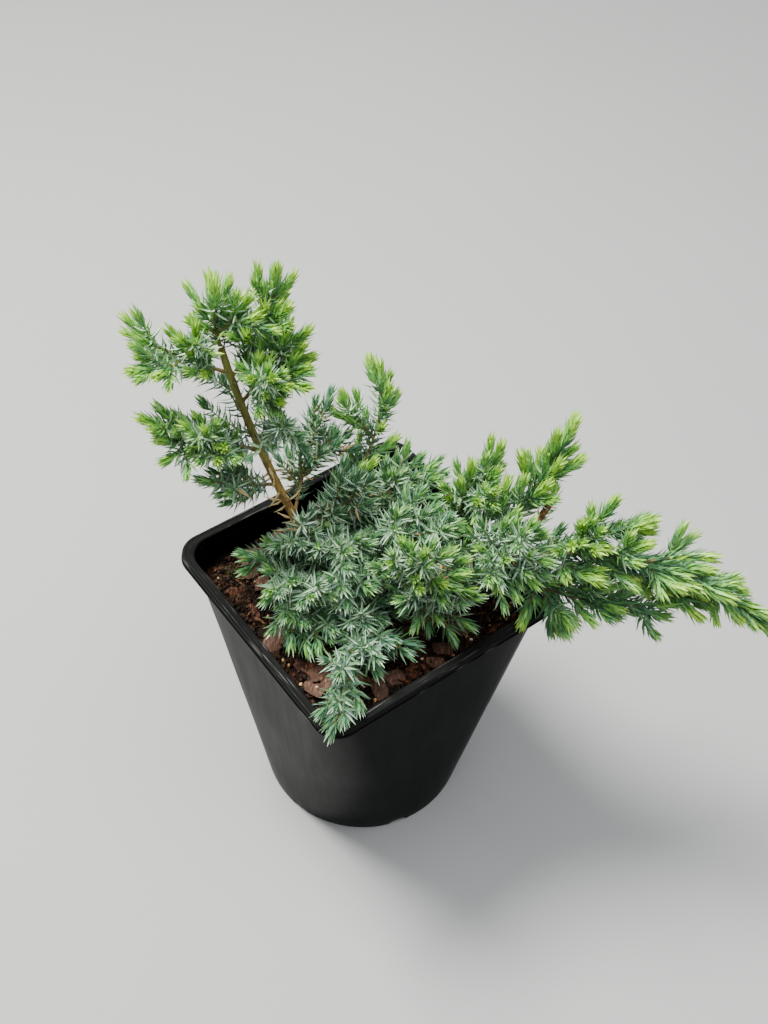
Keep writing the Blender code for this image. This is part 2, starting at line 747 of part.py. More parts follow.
def shoot_mesh(twig, room):
    """A three-sided core in steps of WHORL_STEP, each step turned by 60 degrees against the
    last, so that it is a band of six triangles. Three of them are drawn out into needles."""
    work = bmesh.new()
    cell = Cell(room, twig)
    length = twig_length(twig.points)
    steps = max(2, round(length / WHORL_STEP))
    side, _ = cross_axis(twig.points[1] - twig.points[0])
    rows = []
    for k in range(steps + 1):
        share = k / steps
        point, way = place_at(twig.points, share)
        side = (side - way * side.dot(way)).normalized()
        rise = side.cross(way)
        radius = twig.radii[0] + (twig.radii[1] - twig.radii[0]) * share
        row = []
        for corner in range(3):
            angle = math.radians(120 * corner + 60 * k)
            out = side * math.cos(angle) + rise * math.sin(angle)
            row.append(work.verts.new(point + out * radius))
        rows.append((row, point, way))
    work.faces.new(reversed(rows[0][0]))
    for k, ((low, point, way), (high, _, _)) in enumerate(zip(rows, rows[1:])):
        share = (k + 0.5) / steps
        for corner in range(3):
            a, b = low[corner], low[(corner + 1) % 3]
            top, after = high[corner], high[(corner + 1) % 3]
            work.faces.new((top, b, after))
            root = (a.co + b.co + top.co) / 3
            middle = point + way * (root - point).dot(way)
            out = (root - middle).normalized()
            angle = whorl_angle(share)
            lean = way * math.cos(angle) + out * math.sin(angle)
            tip = root + lean * needle_length(share)
            if share * length > twig.bare and cell.holds_needle(root, tip):
                point_vert = work.verts.new(tip)
                work.faces.new((a, b, point_vert))
                work.faces.new((b, top, point_vert))
                work.faces.new((top, a, point_vert))
            else:
                work.faces.new((a, b, top))
    row, point, way = rows[-1]
    bud = work.verts.new(point + way * TIP_REACH)
    for corner in range(3):
        work.faces.new((row[corner], row[(corner + 1) % 3], bud))
    bmesh.ops.recalc_face_normals(work, faces=work.faces)
    mesh = bpy.data.meshes.new("shoot")
    work.to_mesh(mesh)
    work.free()
    return mesh


def keep_largest(thing):
    """Drops loose scraps and fills sealed hollows: only the shell with most points stays."""
    work = bmesh.new()
    work.from_mesh(thing.data)
    left = set(work.verts)
    shells = []
    while left:
        shell = {left.pop()}
        front = list(shell)
        while front:
            vert = front.pop()
            for edge in vert.link_edges:
                other = edge.other_vert(vert)
                if other not in shell:
                    shell.add(other)
                    front.append(other)
        left -= shell
        shells.append(shell)
    if len(shells) > 1:
        largest = max(shells, key=len)
        drop = [v for shell in shells if shell is not largest for v in shell]
        bmesh.ops.delete(work, geom=drop, context="VERTS")
        work.to_mesh(thing.data)
    work.free()


def fuse_mass(mass, twigs, room, paths, parts):
    """Joins the shoots of one mass with one Boolean union on their collection."""
    shoots = new_collection(mass.name + "_shoots")
    body = new_object(mass.name, shoot_mesh(twigs[0], room), parts)
    for k, twig in enumerate(twigs[1:]):
        new_object(mass.name + "_shoot_" + str(k), shoot_mesh(twig, room), shoots)
    if shoots.objects:
        join = body.modifiers.new("join", "BOOLEAN")
        join.operation = "UNION"
        join.operand_type = "COLLECTION"
        join.collection = shoots
        join.solver = "EXACT"
        bake_modifiers(body)
    for shoot in list(shoots.objects):
        bpy.data.objects.remove(shoot, do_unlink=True)
    bpy.data.collections.remove(shoots)
    if mass.on == "trunk" and mass.at < 1.0:
        cut(body, limb_tube(TRUNK, paths["trunk"], parts, grow=CUT_CLEAR))
    keep_largest(body)
    paint(body, "foliage")
    return body


def make_masses(paths, parts):
    room = Room(paths)
    leads = {mass.name: grow_leads(mass, paths, room) for mass in MASSES}
    shoots = {mass.name: grow_shoots(mass, leads[mass.name], room) for mass in MASSES}
    for mass in MASSES:
        fuse_mass(mass, leads[mass.name] + shoots[mass.name], room, paths, parts)


def main():
    clear_scene()
    parts = new_collection("potted_juniper")
    cutters = new_collection("cutters")
    paths = limb_paths()
    make_pot(parts, cutters)
    make_mix(parts)
    make_trunk(paths, parts, cutters)
    make_boughs(paths, parts, cutters)
    make_masses(paths, parts)
    bpy.data.collections.remove(cutters)


main()
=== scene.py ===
"""Looks of a young spreading juniper with awl needles in a black nursery pot.

The stems follow the solids' rule and carry it on to finer sprigs. Every stem bears whorls of
three needles, green outside and bluish white inside. The pot, the potting mix and the bark
are finer copies of the solids that they replace. Metres, +Z up.
"""
import math
import random
from collections import namedtuple

import bmesh
import bpy
from mathutils import Matrix, Vector, noise
from mathutils.kdtree import KDTree


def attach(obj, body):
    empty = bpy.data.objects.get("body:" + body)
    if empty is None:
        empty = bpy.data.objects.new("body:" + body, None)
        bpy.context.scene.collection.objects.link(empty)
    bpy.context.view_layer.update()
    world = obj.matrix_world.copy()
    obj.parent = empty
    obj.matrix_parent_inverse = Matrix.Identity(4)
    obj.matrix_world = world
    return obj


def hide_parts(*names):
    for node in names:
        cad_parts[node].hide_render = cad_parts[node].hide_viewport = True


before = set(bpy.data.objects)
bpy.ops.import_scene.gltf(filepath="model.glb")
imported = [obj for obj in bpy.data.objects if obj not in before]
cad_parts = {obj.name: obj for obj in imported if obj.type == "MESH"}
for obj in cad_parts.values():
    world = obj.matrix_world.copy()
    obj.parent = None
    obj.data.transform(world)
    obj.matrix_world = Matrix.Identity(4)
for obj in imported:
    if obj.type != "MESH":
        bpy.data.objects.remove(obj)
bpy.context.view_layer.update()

MM = 0.001
CLEAR = 0.3 * MM
UP = Vector((0, 0, 1))
BODY = "root"

# Where the leader's bare stem can be seen from.
OPEN_SIDE = Vector((0, -math.cos(math.radians(50)), math.sin(math.radians(50))))

# Pot
POT_TURN = math.radians(37.8)
POT_HEIGHT = 185 * MM
RIM_HALF = 82.5 * MM
RIM_CORNER = 15 * MM
FLANGE_WIDTH = 6.5 * MM
FLANGE_THICK = 1.8 * MM
LIP_DROP = 6 * MM
LIP_THICK = 1.4 * MM
WALL = 1.6 * MM
FLOOR = 2.4 * MM
BASE_RADIUS = 65 * MM
BASE_CHAMFER = 1.5 * MM
WALL_RINGS = 16
CORNER_POINTS = 15
SIDE_POINTS = 6
DENT = 0.35 * MM
DENT_WIDTH = 55 * MM
DRAIN_NOTCHES = 6
DRAIN_RADIUS = 6.5 * MM
DRAIN_REACH = 14 * MM
DRAIN_DROP = 1 * MM
DRAIN_OFFSET = math.radians(15)

# Potting mix
MIX_LEVEL = 166 * MM
MIX_LUMP = 2.6 * MM
LUMP_WIDTH = 14 * MM
MIX_RINGS = 30
MIX_CLEAR = 0.5 * MM
FOOT_PATCH = 13 * MM
FOOT_FREE = 4 * MM
PATCH_STEP = 3 * MM
MOSS_PLACE = Vector((-81.9 * MM, 12.7 * MM, 0))
MOSS_WIDTH = 7 * MM
GRIT_PLACE = Vector((-24.8 * MM, -69.5 * MM, 0))
GRIT_RADIUS = 1.9 * MM

# Limbs
LIMB_STEP = 8 * MM
FOOT = Vector((-26 * MM, 18 * MM, MIX_LEVEL + CLEAR))
FLARE_HEIGHT = 9 * MM
FLARE_WIDTH = 2.2 * MM
THICKEST_LIMB = 9 * MM
BARK_STEP = 1.2 * MM
BARK_SIDES = 18
BARK_RIDGE = 0.22 * MM
RIDGE_LENGTH = 6 * MM
RIDGES_ROUND = 2.4
LEAF_SCAR = 0.35 * MM
LEAF_SCAR_WIDTH = 1.6 * MM
LEAF_SCAR_PITCH = 7 * MM
RAGGED_CUT = 2.5 * MM
RAGGED_FROM = 0.8

# Shoots
GOLDEN_ANGLE = math.radians(137.5)
SHOOT_RADIUS = (1.8 * MM, 1.5 * MM)
SHOOT_LENGTH = 23 * MM
SHOOT_PITCH = 9.5 * MM
SHOOT_SPREAD = (math.radians(58), math.radians(32))
SHOOT_START = 3 * MM
SHOOT_END = 12 * MM
LEAVE_TRUNK = 6 * MM
TWIG_STEP = 2 * MM
TIP_REACH = 4.5 * MM
BARE_ROOT = 3.5 * MM
SHORTEST_TWIG = 9 * MM
TWIG_GAP = 4.6 * MM
FORK_FREE = 10 * MM
FORK_GAP = 3.2 * MM
LIMB_GAP = 0.7 * MM
POT_GAP = 1.5 * MM
LEAD_STEM = (1.15 * MM, 0.5 * MM)
SHOOT_STEM = (0.7 * MM, 0.35 * MM)
SPRIG_STEM = (0.5 * MM, 0.3 * MM)
SPRIG_PITCH = 5 * MM
SPRIG_LENGTH = 16 * MM
SPRIG_END = 12 * MM
SHORTEST_SPRIG = 5 * MM
SPRIG_GAP = 2 * MM
LIMB_SPRIGS = 4 * MM
BOUGH_START = 12 * MM
LEADER_START = 0.52
LONG_SPRIGS = 1.6
SPRIG_ASIDE = 0.55
SPRIG_SEED = 1000
LIMB_SPRIG_SEED = 500

# Needles
NEEDLE_LENGTH = 11.0 * MM
NEEDLE_WIDTH = 1.95 * MM
WHORL_PITCH = 2.4 * MM
TIP_PITCH = 1.4 * MM
NEEDLE_OPEN = math.radians(66)
NEEDLE_CLOSED = math.radians(19)
BRUSH_OPEN = math.radians(44)
BRUSH_CLOSED = math.radians(22)
BRUSH_PITCH = 0.8
CLOSED_BUD = 2.5 * MM
CLOSED_FRESH = 12 * MM
OPENING = 9 * MM
STUB_FREE = 6 * MM
LEADER_FREE = 3.2 * MM
LEADER_CROSSED = 0.2
DRY_ON_STUB = 12
BAND_SHARE = 0.55
BOUGH_WHORLS = 4.5 * MM
BOUGH_OPEN = math.radians(60)
DEAD_ON_TRUNK = 34
SUNK = 0.3 * MM
BUD = 1.5 * MM
SPRIG_BARE = 1.2 * MM
SHORTER_AT_TIP = 0.35
SHORTER_WITHIN = 4 * MM
SPRIG_NEEDLES = 0.9
LIMB_NEEDLES = 0.95
UNDERSIDE = -0.6
NEEDLES_IN_PIECE = 10000
NEEDLE_SEED = 2000
LIMB_NEEDLE_SEED = 501
OLD_NEEDLE_SEED = 77

# Age of a spray of needles
FRESH_FALL = 13 * MM
FRESH_FROM = 0.50
BRIGHT_FROM = 0.28
GREEN_FROM = 0.10
BLUE_SHARE = 0.6
OLD_FROM = 0.27
DEAD_SHARE = 0.22
OLD_FOOT = 0.08

# Camera and light, from the photograph's own view
CAMERA_PLACE = (0.009, -0.479, 0.775)
CAMERA_PITCH = math.radians(48.25)
CAMERA_ROLL = math.radians(2.07)
FOCAL_PIXELS = 1304.0
PICTURE_LONG = 1024.0
SENSOR = 36.0

# Where one pair of the pot's sides gives way to the other in its scuffs and painted highlight lines, in
# square metres
SIDE_STEP = 0.0002

# Lengths and radii are in millimetres, headings in degrees and hold at the tip, as in the solids.
Limb = namedtuple("Limb", "name on at azimuth rise length turn lift root tip")
Lead = namedtuple("Lead", "at azimuth rise length lift")
Mass = namedtuple("Mass", "name on at fresh old seed leads")

TRUNK = Limb("trunk", None, 0.0, 164, 78, 159, 15, 22, 2.7, 2.1)

BOUGHS = (
    Limb("back_bough", "trunk", 0.15, 47, 26, 30, -5, 12, 1.9, 1.4),
    Limb("back_right_bough", "trunk", 0.11, 25, 21, 31, -7, 5, 1.6, 1.2),
    Limb("right_bough", "trunk", 0.05, -8, 15, 102, 14, -6, 2.4, 1.9),
    Limb("right_arm", "right_bough", 1.0, -10, 26, 36, -5, 3, 1.8, 1.4),
    Limb("centre_back_bough", "right_bough", 0.22, -36, 59, 28, 4, 5, 1.5, 1.2),
    Limb("centre_bough", "right_bough", 0.38, -61, 39, 28, 0, 10, 1.6, 1.2),
    Limb("centre_low_bough", "right_bough", 0.52, -63, 19, 23, -4, 2, 1.5, 1.2),
    Limb("right_upper_bough", "right_bough", 0.62, 36, 33, 20, -4, 5, 1.5, 1.2),
    Limb("right_mid_bough", "right_bough", 0.8, -28, 42, 24, 4, 5, 1.4, 1.2),
    Limb("right_back_bough", "right_bough", 0.9, 25, 41, 22, -4, 6, 1.5, 1.2),
    Limb("right_low_bough", "right_arm", 0.15, -26, -11, 16, -5, -3, 1.3, 1.2),
    Limb("stub_bough", "right_arm", 0.4, 35, 56, 41, 0, 20, 1.7, 2.0),
    Limb("arm_upper_bough", "right_arm", 0.62, 4, 23, 20, -4, 2, 1.3, 1.2),
    Limb("front_bough", "trunk", 0.03, -68, 17, 28, -4, -1, 1.7, 1.2),
)

# A mass's numbers are where it leaves its carrier, how fresh its tips are and how old its foot is,
# both from 0 to 1, and the seed of its shoots.
MASSES = (
    Mass("leader_top", "trunk", 1.0, 1.0, 0.08, 11, (Lead(0.0, 89, 62, 42, 15), Lead(0.25, 3, 65, 34, 20),
        Lead(0.3, -142, 49, 22, 10))),
    Mass("leader_left", "trunk", 0.9, 0.9, 0.08, 12, (Lead(0.0, -169, 39, 64, 10),
        Lead(0.45, -111, 24, 33, 10), Lead(0.35, -70, 78, 42, 20), Lead(0.15, -94, 39, 30, 10))),
    Mass("leader_right", "trunk", 0.77, 0.85, 0.08, 13, (Lead(0.0, 4, 73, 66, 20),
        Lead(0.35, -27, 43, 39, 15), Lead(0.3, -71, 49, 54, 10), Lead(0.45, -12, 53, 33, 15),
        Lead(0.2, -56, 32, 39, 10))),
    Mass("leader_low_left", "trunk", 0.56, 0.75, 0.08, 14, (Lead(0.0, -150, 44, 87, 10),
        Lead(0.5, -136, 33, 34, 5), Lead(0.35, -97, 60, 47, 15), Lead(0.3, -83, 44, 37, 5))),
    Mass("leader_front", "trunk", 0.88, 0.95, 0.08, 15, (Lead(0.0, 30, 79, 73, 30),
        Lead(0.35, -94, 62, 27, 20), Lead(0.45, -43, 77, 26, 10))),
    Mass("leader_low", "trunk", 0.4, 0.35, 0.3, 16, (Lead(0.0, -137, 39, 62, 5),)),
    Mass("leader_rosette", "trunk", 0.62, 0.15, 0.08, 17, (Lead(0.0, -54, 55, 60, 15),)),
    Mass("back_left", "trunk", 0.25, 0.15, 0.55, 18, (Lead(0.0, 77, 56, 72, 20),
        Lead(0.35, 41, 48, 36, 15), Lead(0.3, 96, 65, 26, 10), Lead(0.45, -20, 59, 23, 10))),
    Mass("mid_back", "trunk", 0.19, 0.2, 0.35, 19, (Lead(0.0, 2, 59, 64, 25), Lead(0.4, 47, 85, 29, 25))),
    Mass("low_left", "trunk", 0.11, 0.35, 0.2, 20, (Lead(0.0, -144, 25, 50, 10),
        Lead(0.4, -148, 60, 22, 10))),
    Mass("mid_left", "trunk", 0.22, 0.2, 0.25, 21, (Lead(0.0, -91, 46, 48, 25),
        Lead(0.45, -45, 50, 29, 15))),
    Mass("mid_front", "trunk", 0.15, 0.3, 0.08, 22, (Lead(0.0, -62, 50, 80, 20),
        Lead(0.4, -36, 53, 49, 25), Lead(0.35, -58, 26, 62, 10), Lead(0.2, -73, 31, 63, 10))),
    Mass("front_left", "trunk", 0.05, 0.36, 0.15, 23, (Lead(0.0, -111, 37, 78, 10),
        Lead(0.45, -90, -10, 49, -5), Lead(0.35, -76, -5, 59, -5), Lead(0.35, -78, 43, 53, 20))),
    Mass("back_top", "back_bough", 1.0, 0.9, 0.08, 24, (Lead(0.0, 111, 69, 90, 15),
        Lead(0.5, 154, 61, 36, 20), Lead(0.55, -69, 59, 22, 15))),
    Mass("back_right", "back_right_bough", 1.0, 0.45, 0.2, 25, (Lead(0.0, 68, 70, 59, 15),
        Lead(0.45, -1, 48, 39, 15), Lead(0.4, -47, 48, 38, 15), Lead(0.3, -36, 83, 34, 20))),
    Mass("centre_back", "centre_back_bough", 1.0, 0.35, 0.08, 26, (Lead(0.0, -52, 74, 52, 15),
        Lead(0.4, 5, 45, 39, 15), Lead(0.35, -19, 36, 53, 10))),
    Mass("centre", "centre_bough", 1.0, 0.6, 0.25, 27, (Lead(0.0, -84, 75, 73, 15),
        Lead(0.4, -16, 46, 40, 15), Lead(0.4, -136, 61, 29, 15), Lead(0.35, -52, 38, 38, 5))),
    Mass("centre_low", "centre_low_bough", 1.0, 0.35, 0.35, 28, (Lead(0.0, -78, 71, 62, 15),
        Lead(0.4, -136, 35, 32, 10), Lead(0.35, -52, -41, 32, -5), Lead(0.5, -32, 37, 34, 10),
        Lead(0.3, -107, -14, 25, 0))),
    Mass("right_upper", "right_upper_bough", 1.0, 0.8, 0.08, 29, (Lead(0.0, 12, 78, 72, 12),
        Lead(0.35, -133, 83, 29, 15), Lead(0.45, -56, 56, 33, 10), Lead(0.3, 67, 80, 34, 15),
        Lead(0.25, -147, 71, 24, 5))),
    Mass("right_mid", "right_mid_bough", 1.0, 0.5, 0.08, 30, (Lead(0.0, -11, 71, 57, 15),
        Lead(0.35, -81, 47, 30, 15), Lead(0.3, -87, 7, 29, 10), Lead(0.45, -1, 82, 25, 10),
        Lead(0.35, -135, 47, 25, 10), Lead(0.4, -55, 4, 33, 0))),
    Mass("right_back", "right_back_bough", 1.0, 1.0, 0.08, 31, (Lead(0.0, 45, 66, 86, 10),
        Lead(0.5, -20, 67, 25, 5), Lead(0.45, 152, 73, 27, 15))),
    Mass("right_low", "right_low_bough", 1.0, 0.65, 0.2, 32, (Lead(0.0, 6, 10, 99, 5),
        Lead(0.5, -27, 5, 18, 0), Lead(0.35, -50, -13, 22, 0), Lead(0.2, -68, -25, 29, 0),
        Lead(0.15, -112, -25, 26, 0), Lead(0.25, -12, 56, 31, 5), Lead(0.4, -4, 33, 28, 0))),
    Mass("stub_needles", "stub_bough", 1.0, 0.8, 0.08, 33, (Lead(0.0, 131, 63, 17, 5),)),
    Mass("arm_upper", "arm_upper_bough", 1.0, 0.9, 0.08, 34, (Lead(0.0, -12, 37, 62, -4),
        Lead(0.3, -111, 74, 27, 10), Lead(0.35, -62, 33, 26, 0), Lead(0.2, -100, 48, 30, 5))),
    Mass("arm_tip", "right_arm", 1.0, 1.0, 0.08, 35, (Lead(0.0, -23, -38, 144, -62),
        Lead(0.42, 2, -3, 39, -20), Lead(0.42, -8, -27, 44, -10), Lead(0.3, -13, -23, 56, 0),
        Lead(0.12, -30, 47, 24, 10), Lead(0.6, 2, -27, 37, -12), Lead(0.25, -11, -8, 48, 0))),
    Mass("front_drop", "front_bough", 1.0, 0.1, 0.08, 36, (Lead(0.0, -108, -3, 116, -10),
        Lead(0.35, -64, 2, 38, 0), Lead(0.25, -40, 4, 48, 0), Lead(0.12, -75, 51, 32, 15),
        Lead(0.1, -50, 28, 44, 8))),
)

# Masses whose shoots stay brushes along their length.
BRUSHES = ("arm_tip", "arm_upper", "right_low", "right_back")

STUB = next(limb for limb in BOUGHS if limb.name == "stub_bough")
LEAFY_BOUGHS = [limb for limb in BOUGHS if limb is not STUB]

# Colours of the green skin and of the waxy band on the inner face, by the age of the spray.
NEEDLE_AGES = {
    "fresh": ((0.310, 0.540, 0.060), (0.44, 0.66, 0.13)),
    "bright": ((0.175, 0.400, 0.080), (0.40, 0.62, 0.24)),
    "green": ((0.078, 0.205, 0.074), (0.45, 0.61, 0.41)),
    "blue": ((0.054, 0.150, 0.082), (0.47, 0.61, 0.49)),
    "dull": ((0.095, 0.118, 0.042), (0.29, 0.34, 0.20)),
    "dead": ((0.390, 0.270, 0.095), (0.50, 0.38, 0.17)),
}


# Shader helpers

class Value:
    """A shader socket that takes part in sums: an expression on values adds its Math nodes."""

    def __init__(self, look, socket):
        self.look = look
        self.socket = socket

    def sum_with(self, operation, first, second):
        node = self.look.node("ShaderNodeMath", {"operation": operation}, {0: first, 1: second})
        return Value(self.look, node.outputs[0])

    def __add__(self, other):
        return self.sum_with("ADD", self, other)

    def __radd__(self, other):
        return self.sum_with("ADD", other, self)

    def __sub__(self, other):
        return self.sum_with("SUBTRACT", self, other)

    def __rsub__(self, other):
        return self.sum_with("SUBTRACT", other, self)

    def __mul__(self, other):
        return self.sum_with("MULTIPLY", self, other)

    def __rmul__(self, other):
        return self.sum_with("MULTIPLY", other, self)

    def above(self, low, high):
        """0 under low, 1 over high, and a smooth step between."""
        node = self.look.node("ShaderNodeMapRange", {"interpolation_type": "SMOOTHSTEP"},
                              {"Value": self, "From Min": low, "From Max": high})
        return Value(self.look, node.outputs["Result"])


class Nodes:
    """Adds nodes to a tree: the settings first, then the values or links of the sockets."""

    def node(self, kind, settings=None, inputs=None):
        node = self.tree.nodes.new(kind)
        for name, value in (settings or {}).items():
            setattr(node, name, value)
        for key, value in (inputs or {}).items():
            self.feed(node.inputs[key], value)
        return node

    def feed(self, socket, value):
        if isinstance(value, Value):
            value = value.socket
        if isinstance(value, bpy.types.NodeSocket):
            self.tree.links.new(value, socket)
        elif socket.type == "RGBA":
            socket.default_value = (*value, 1)
        else:
            socket.default_value = value


class Look(Nodes):
    """One Principled material and its nodes."""

    def __init__(self, name, colour, roughness, **settings):
        self.material = bpy.data.materials.new(name)
        self.material.use_nodes = True
        self.tree = self.material.node_tree
        self.shader = self.tree.nodes["Principled BSDF"]
        self.colour(colour)
        self.gloss(roughness)
        for name, value in settings.items():
            self.feed(self.shader.inputs[name.replace("_", " ")], value)

    def place(self, kind="POINT", turn=0.0, scale=(1, 1, 1)):
        """Object coordinates, stretched by scale, or measured in it along turned axes."""
        where = self.node("ShaderNodeTexCoord").outputs["Object"]
        return self.node("ShaderNodeMapping", {"vector_type": kind}, {
            "Vector": where, "Rotation": (0, 0, turn), "Scale": scale}).outputs["Vector"]

    def parts(self, place):
        """The three numbers of a place."""
        node = self.node("ShaderNodeSeparateXYZ", {}, {"Vector": place})
        return [Value(self, output) for output in node.outputs]

    def height(self):
        """Metres above the ground."""
        return self.parts(self.place())[2]

    def noise_at(self, place, detail, roughness=0.5):
        node = self.node("ShaderNodeTexNoise", {}, {
            "Vector": place, "Scale": 1.0, "Detail": detail, "Roughness": roughness})
        return Value(self, node.outputs["Fac"])

    def noise(self, size, detail=4.0, roughness=0.55, stretch=(1, 1, 1)):
        """Noise with patches about size metres across."""
        return self.noise_at(self.place(scale=tuple(k / size for k in stretch)), detail, roughness)

    def grain(self, sizes, turn):
        """Noise with patches of the given sizes along axes turned about the vertical."""
        return self.noise_at(self.place("TEXTURE", turn, sizes), 3.0)

    def on_far_side(self, turn):
        """1 on the sides across the second turned axis, 0 on those across the first."""
        u, w, _ = self.parts(self.place("TEXTURE", turn))
        return (w * w - u * u).above(-SIDE_STEP, SIDE_STEP)

    def mix(self, share, first, second):
        """Blends two colours."""
        node = self.node("ShaderNodeMix", {"data_type": "RGBA"}, {0: share, 6: first, 7: second})
        return node.outputs[2]

    def bump(self, height, distance, strength=1.0):
        node = self.node("ShaderNodeBump", {}, {
            "Height": height, "Distance": distance, "Strength": strength})
        self.feed(self.shader.inputs["Normal"], node.outputs["Normal"])

    def colour(self, value):
        self.feed(self.shader.inputs["Base Color"], value)

    def gloss(self, value):
        self.feed(self.shader.inputs["Roughness"], value)


def black_pot_plastic():
    """Near-black satin plastic, a little dusty at the foot, with thin light lines along the rim that are
    partly fine scuffs and partly a painted highlight on the lip's edges.
    """
    look = Look("black_pot_plastic", (0.002, 0.002, 0.002), 0.4, Specular_IOR_Level=0.035)
    cloud = look.noise(38 * MM, 5)
    streak = look.noise(5 * MM, 3, 0.6, (1, 1, 0.06))
    scratch = look.noise(2.2 * MM, 2, 0.5, (1, 1, 0.14)).above(0.66, 0.74)
    rim = look.height().above(POT_HEIGHT - LIP_DROP - MM, POT_HEIGHT - LIP_DROP + MM)
    foot = 1 - look.height().above(0.0, 22 * MM)
    top = look.height().above(POT_HEIGHT - 1.4 * MM, POT_HEIGHT - 0.5 * MM)
    along = look.grain((24 * MM, 0.7 * MM, 3 * MM), POT_TURN)
    across = look.grain((0.7 * MM, 24 * MM, 3 * MM), POT_TURN)
    side = look.on_far_side(POT_TURN)
    # Thin light lines along each side of the rim: partly real scuffs, partly a painted highlight on the
    # lip's edges.
    lines = (along * side + across * (1 - side)).above(0.60, 0.72)
    # The rim's light lines and its faintly lighter top are partly scuffs and partly painted highlight.
    scuffs_and_highlight_lines = rim * (lines * 0.65 + top * 0.05)
    dust = (foot * 0.25 + 0.10) * cloud.above(0.45, 0.75) + scratch * 0.12
    base = look.mix(dust, (0.0010, 0.0012, 0.0012), (0.0075, 0.0074, 0.0070))
    look.colour(look.mix(scuffs_and_highlight_lines, base, (0.105, 0.108, 0.100)))
    look.gloss(cloud * 0.14 + streak * 0.12 + rim * 0.06 + 0.24)
    look.bump(streak * 0.5 + look.noise(0.9 * MM, 2) * 0.3 + scratch * 0.3, 0.1 * MM, 0.5)
    return look.material


def damp_mix():
    """Dark brown crumbs of composted bark."""
    look = Look("damp_mix", (0.012, 0.006, 0.003), 0.9, Specular_IOR_Level=0.08)
    crumb = look.noise(2.0 * MM, 8, 0.75)
    patch = look.noise(16 * MM, 3)
    dark = look.mix(patch.above(0.35, 0.65), (0.0020, 0.0009, 0.0005), (0.0110, 0.0050, 0.0022))
    look.colour(look.mix(crumb.above(0.50, 0.68), dark, (0.066, 0.030, 0.013)))
    look.bump(crumb, 2.2 * MM)
    return look.material


def bark_chip(name, dark, light):
    """A split bark chip with its grain."""
    look = Look(name + "_bark", dark, 0.75, Specular_IOR_Level=0.14)
    grain = look.noise(1.2 * MM, 5, 0.65, (1, 0.25, 1))
    patch = look.noise(7 * MM, 4, 0.6)
    look.colour(look.mix(grain.above(0.42, 0.66) * patch.above(0.30, 0.66), dark, light))
    look.gloss(0.9 - patch * 0.45)
    look.bump(grain, 0.25 * MM)
    return look.material


def speckled(name, dark, light, size, high, rough, rise, **settings):
    """Light specks of a size on a dark ground, raised a little."""
    look = Look(name, dark, rough, **settings)
    speck = look.noise(size, 3)
    look.colour(look.mix(speck.above(0.4, high), dark, light))
    look.bump(speck, rise)
    return look.material


def granule(name, dark, light):
    return speckled(name + "_skin", dark, light, 0.8 * MM, 0.65, 0.7, 0.2 * MM, Specular_IOR_Level=0.25)


def twig_skin(name, dark, light):
    return speckled(name, dark, light, 1.8 * MM, 0.6, 0.5, 0.12 * MM)


def leader_bark():
    """Orange-brown flaking bark low down, olive green on the younger wood above."""
    look = Look("leader_bark", (0.30, 0.17, 0.04), 0.55)
    flake = look.noise(2.2 * MM, 6, 0.65, (1, 1, 0.3))
    patch = look.noise(9 * MM, 3)
    young = (look.height() + patch * (30 * MM)).above(205 * MM, 290 * MM)
    foot = 1 - look.height().above(MIX_LEVEL, MIX_LEVEL + 22 * MM)
    old = look.mix(flake.above(0.4, 0.64), (0.40, 0.235, 0.055), (0.17, 0.075, 0.024))
    fresh = look.mix(flake.above(0.42, 0.7), (0.235, 0.225, 0.045), (0.15, 0.10, 0.03))
    wood = look.mix(young, old, fresh)
    look.colour(look.mix(foot * 0.7, wood, (0.075, 0.036, 0.018)))
    look.gloss(flake * 0.35 + 0.34)
    look.bump(flake, 0.3 * MM)
    return look.material


def bough_bark():
    """Smooth olive-brown bark of the young boughs."""
    look = Look("bough_bark", (0.14, 0.12, 0.03), 0.55)
    flake = look.noise(2.0 * MM, 6, 0.65)
    patch = look.noise(12 * MM, 3)
    green = look.mix(flake.above(0.42, 0.66), (0.175, 0.165, 0.035), (0.085, 0.060, 0.020))
    brown = look.mix(flake.above(0.42, 0.66), (0.20, 0.115, 0.035), (0.080, 0.040, 0.016))
    look.colour(look.mix(patch.above(0.45, 0.62), green, brown))
    look.gloss(flake * 0.35 + 0.36)
    look.bump(flake, 0.3 * MM)
    return look.material


def cut_stub_bark():
    """Papery red-brown bark at the cut, still olive towards its foot."""
    look = Look("cut_stub_bark", (0.16, 0.06, 0.025), 0.7)
    flake = look.noise(1.4 * MM, 5, 0.7, (1, 1, 0.4))
    dry = (look.height() + flake * (8 * MM)).above(221 * MM, 232 * MM)
    brown = look.mix(flake.above(0.4, 0.62), (0.27, 0.115, 0.045), (0.055, 0.022, 0.012))
    olive = look.mix(flake.above(0.4, 0.62), (0.20, 0.17, 0.035), (0.09, 0.06, 0.02))
    look.colour(look.mix(dry, olive, brown))
    look.gloss(flake * 0.3 + 0.5)
    look.bump(flake, 0.5 * MM)
    return look.material


def needle_skin(name, colour, roughness):
    """A plain waxy colour, as the shade of each spray is dealt out by its age."""
    return Look(name, colour, roughness, Specular_IOR_Level=0.45).material


# Rule of growth, the same as the solids'

def heading(azimuth, rise):
    """Unit vector from degrees round +Z and degrees above level."""
    a, r = math.radians(azimuth), math.radians(rise)
    return Vector((math.cos(a) * math.cos(r), math.sin(a) * math.cos(r), math.sin(r)))


def sweep(start, first, last, length, step):
    """Points of a limb that leaves along first and has turned to last at its tip."""
    count = max(3, round(length / step))
    points = [start.copy()]
    for k in range(count):
        way = first.lerp(last, (k + 0.5) / count).normalized()
        points.append(points[-1] + way * (length / count))
    return points


def place_at(points, share):
    """Point and direction at a share of a run of evenly spaced points."""
    run = share * (len(points) - 1)
    k = min(int(run), len(points) - 2)
    return points[k].lerp(points[k + 1], run - k), (points[k + 1] - points[k]).normalized()


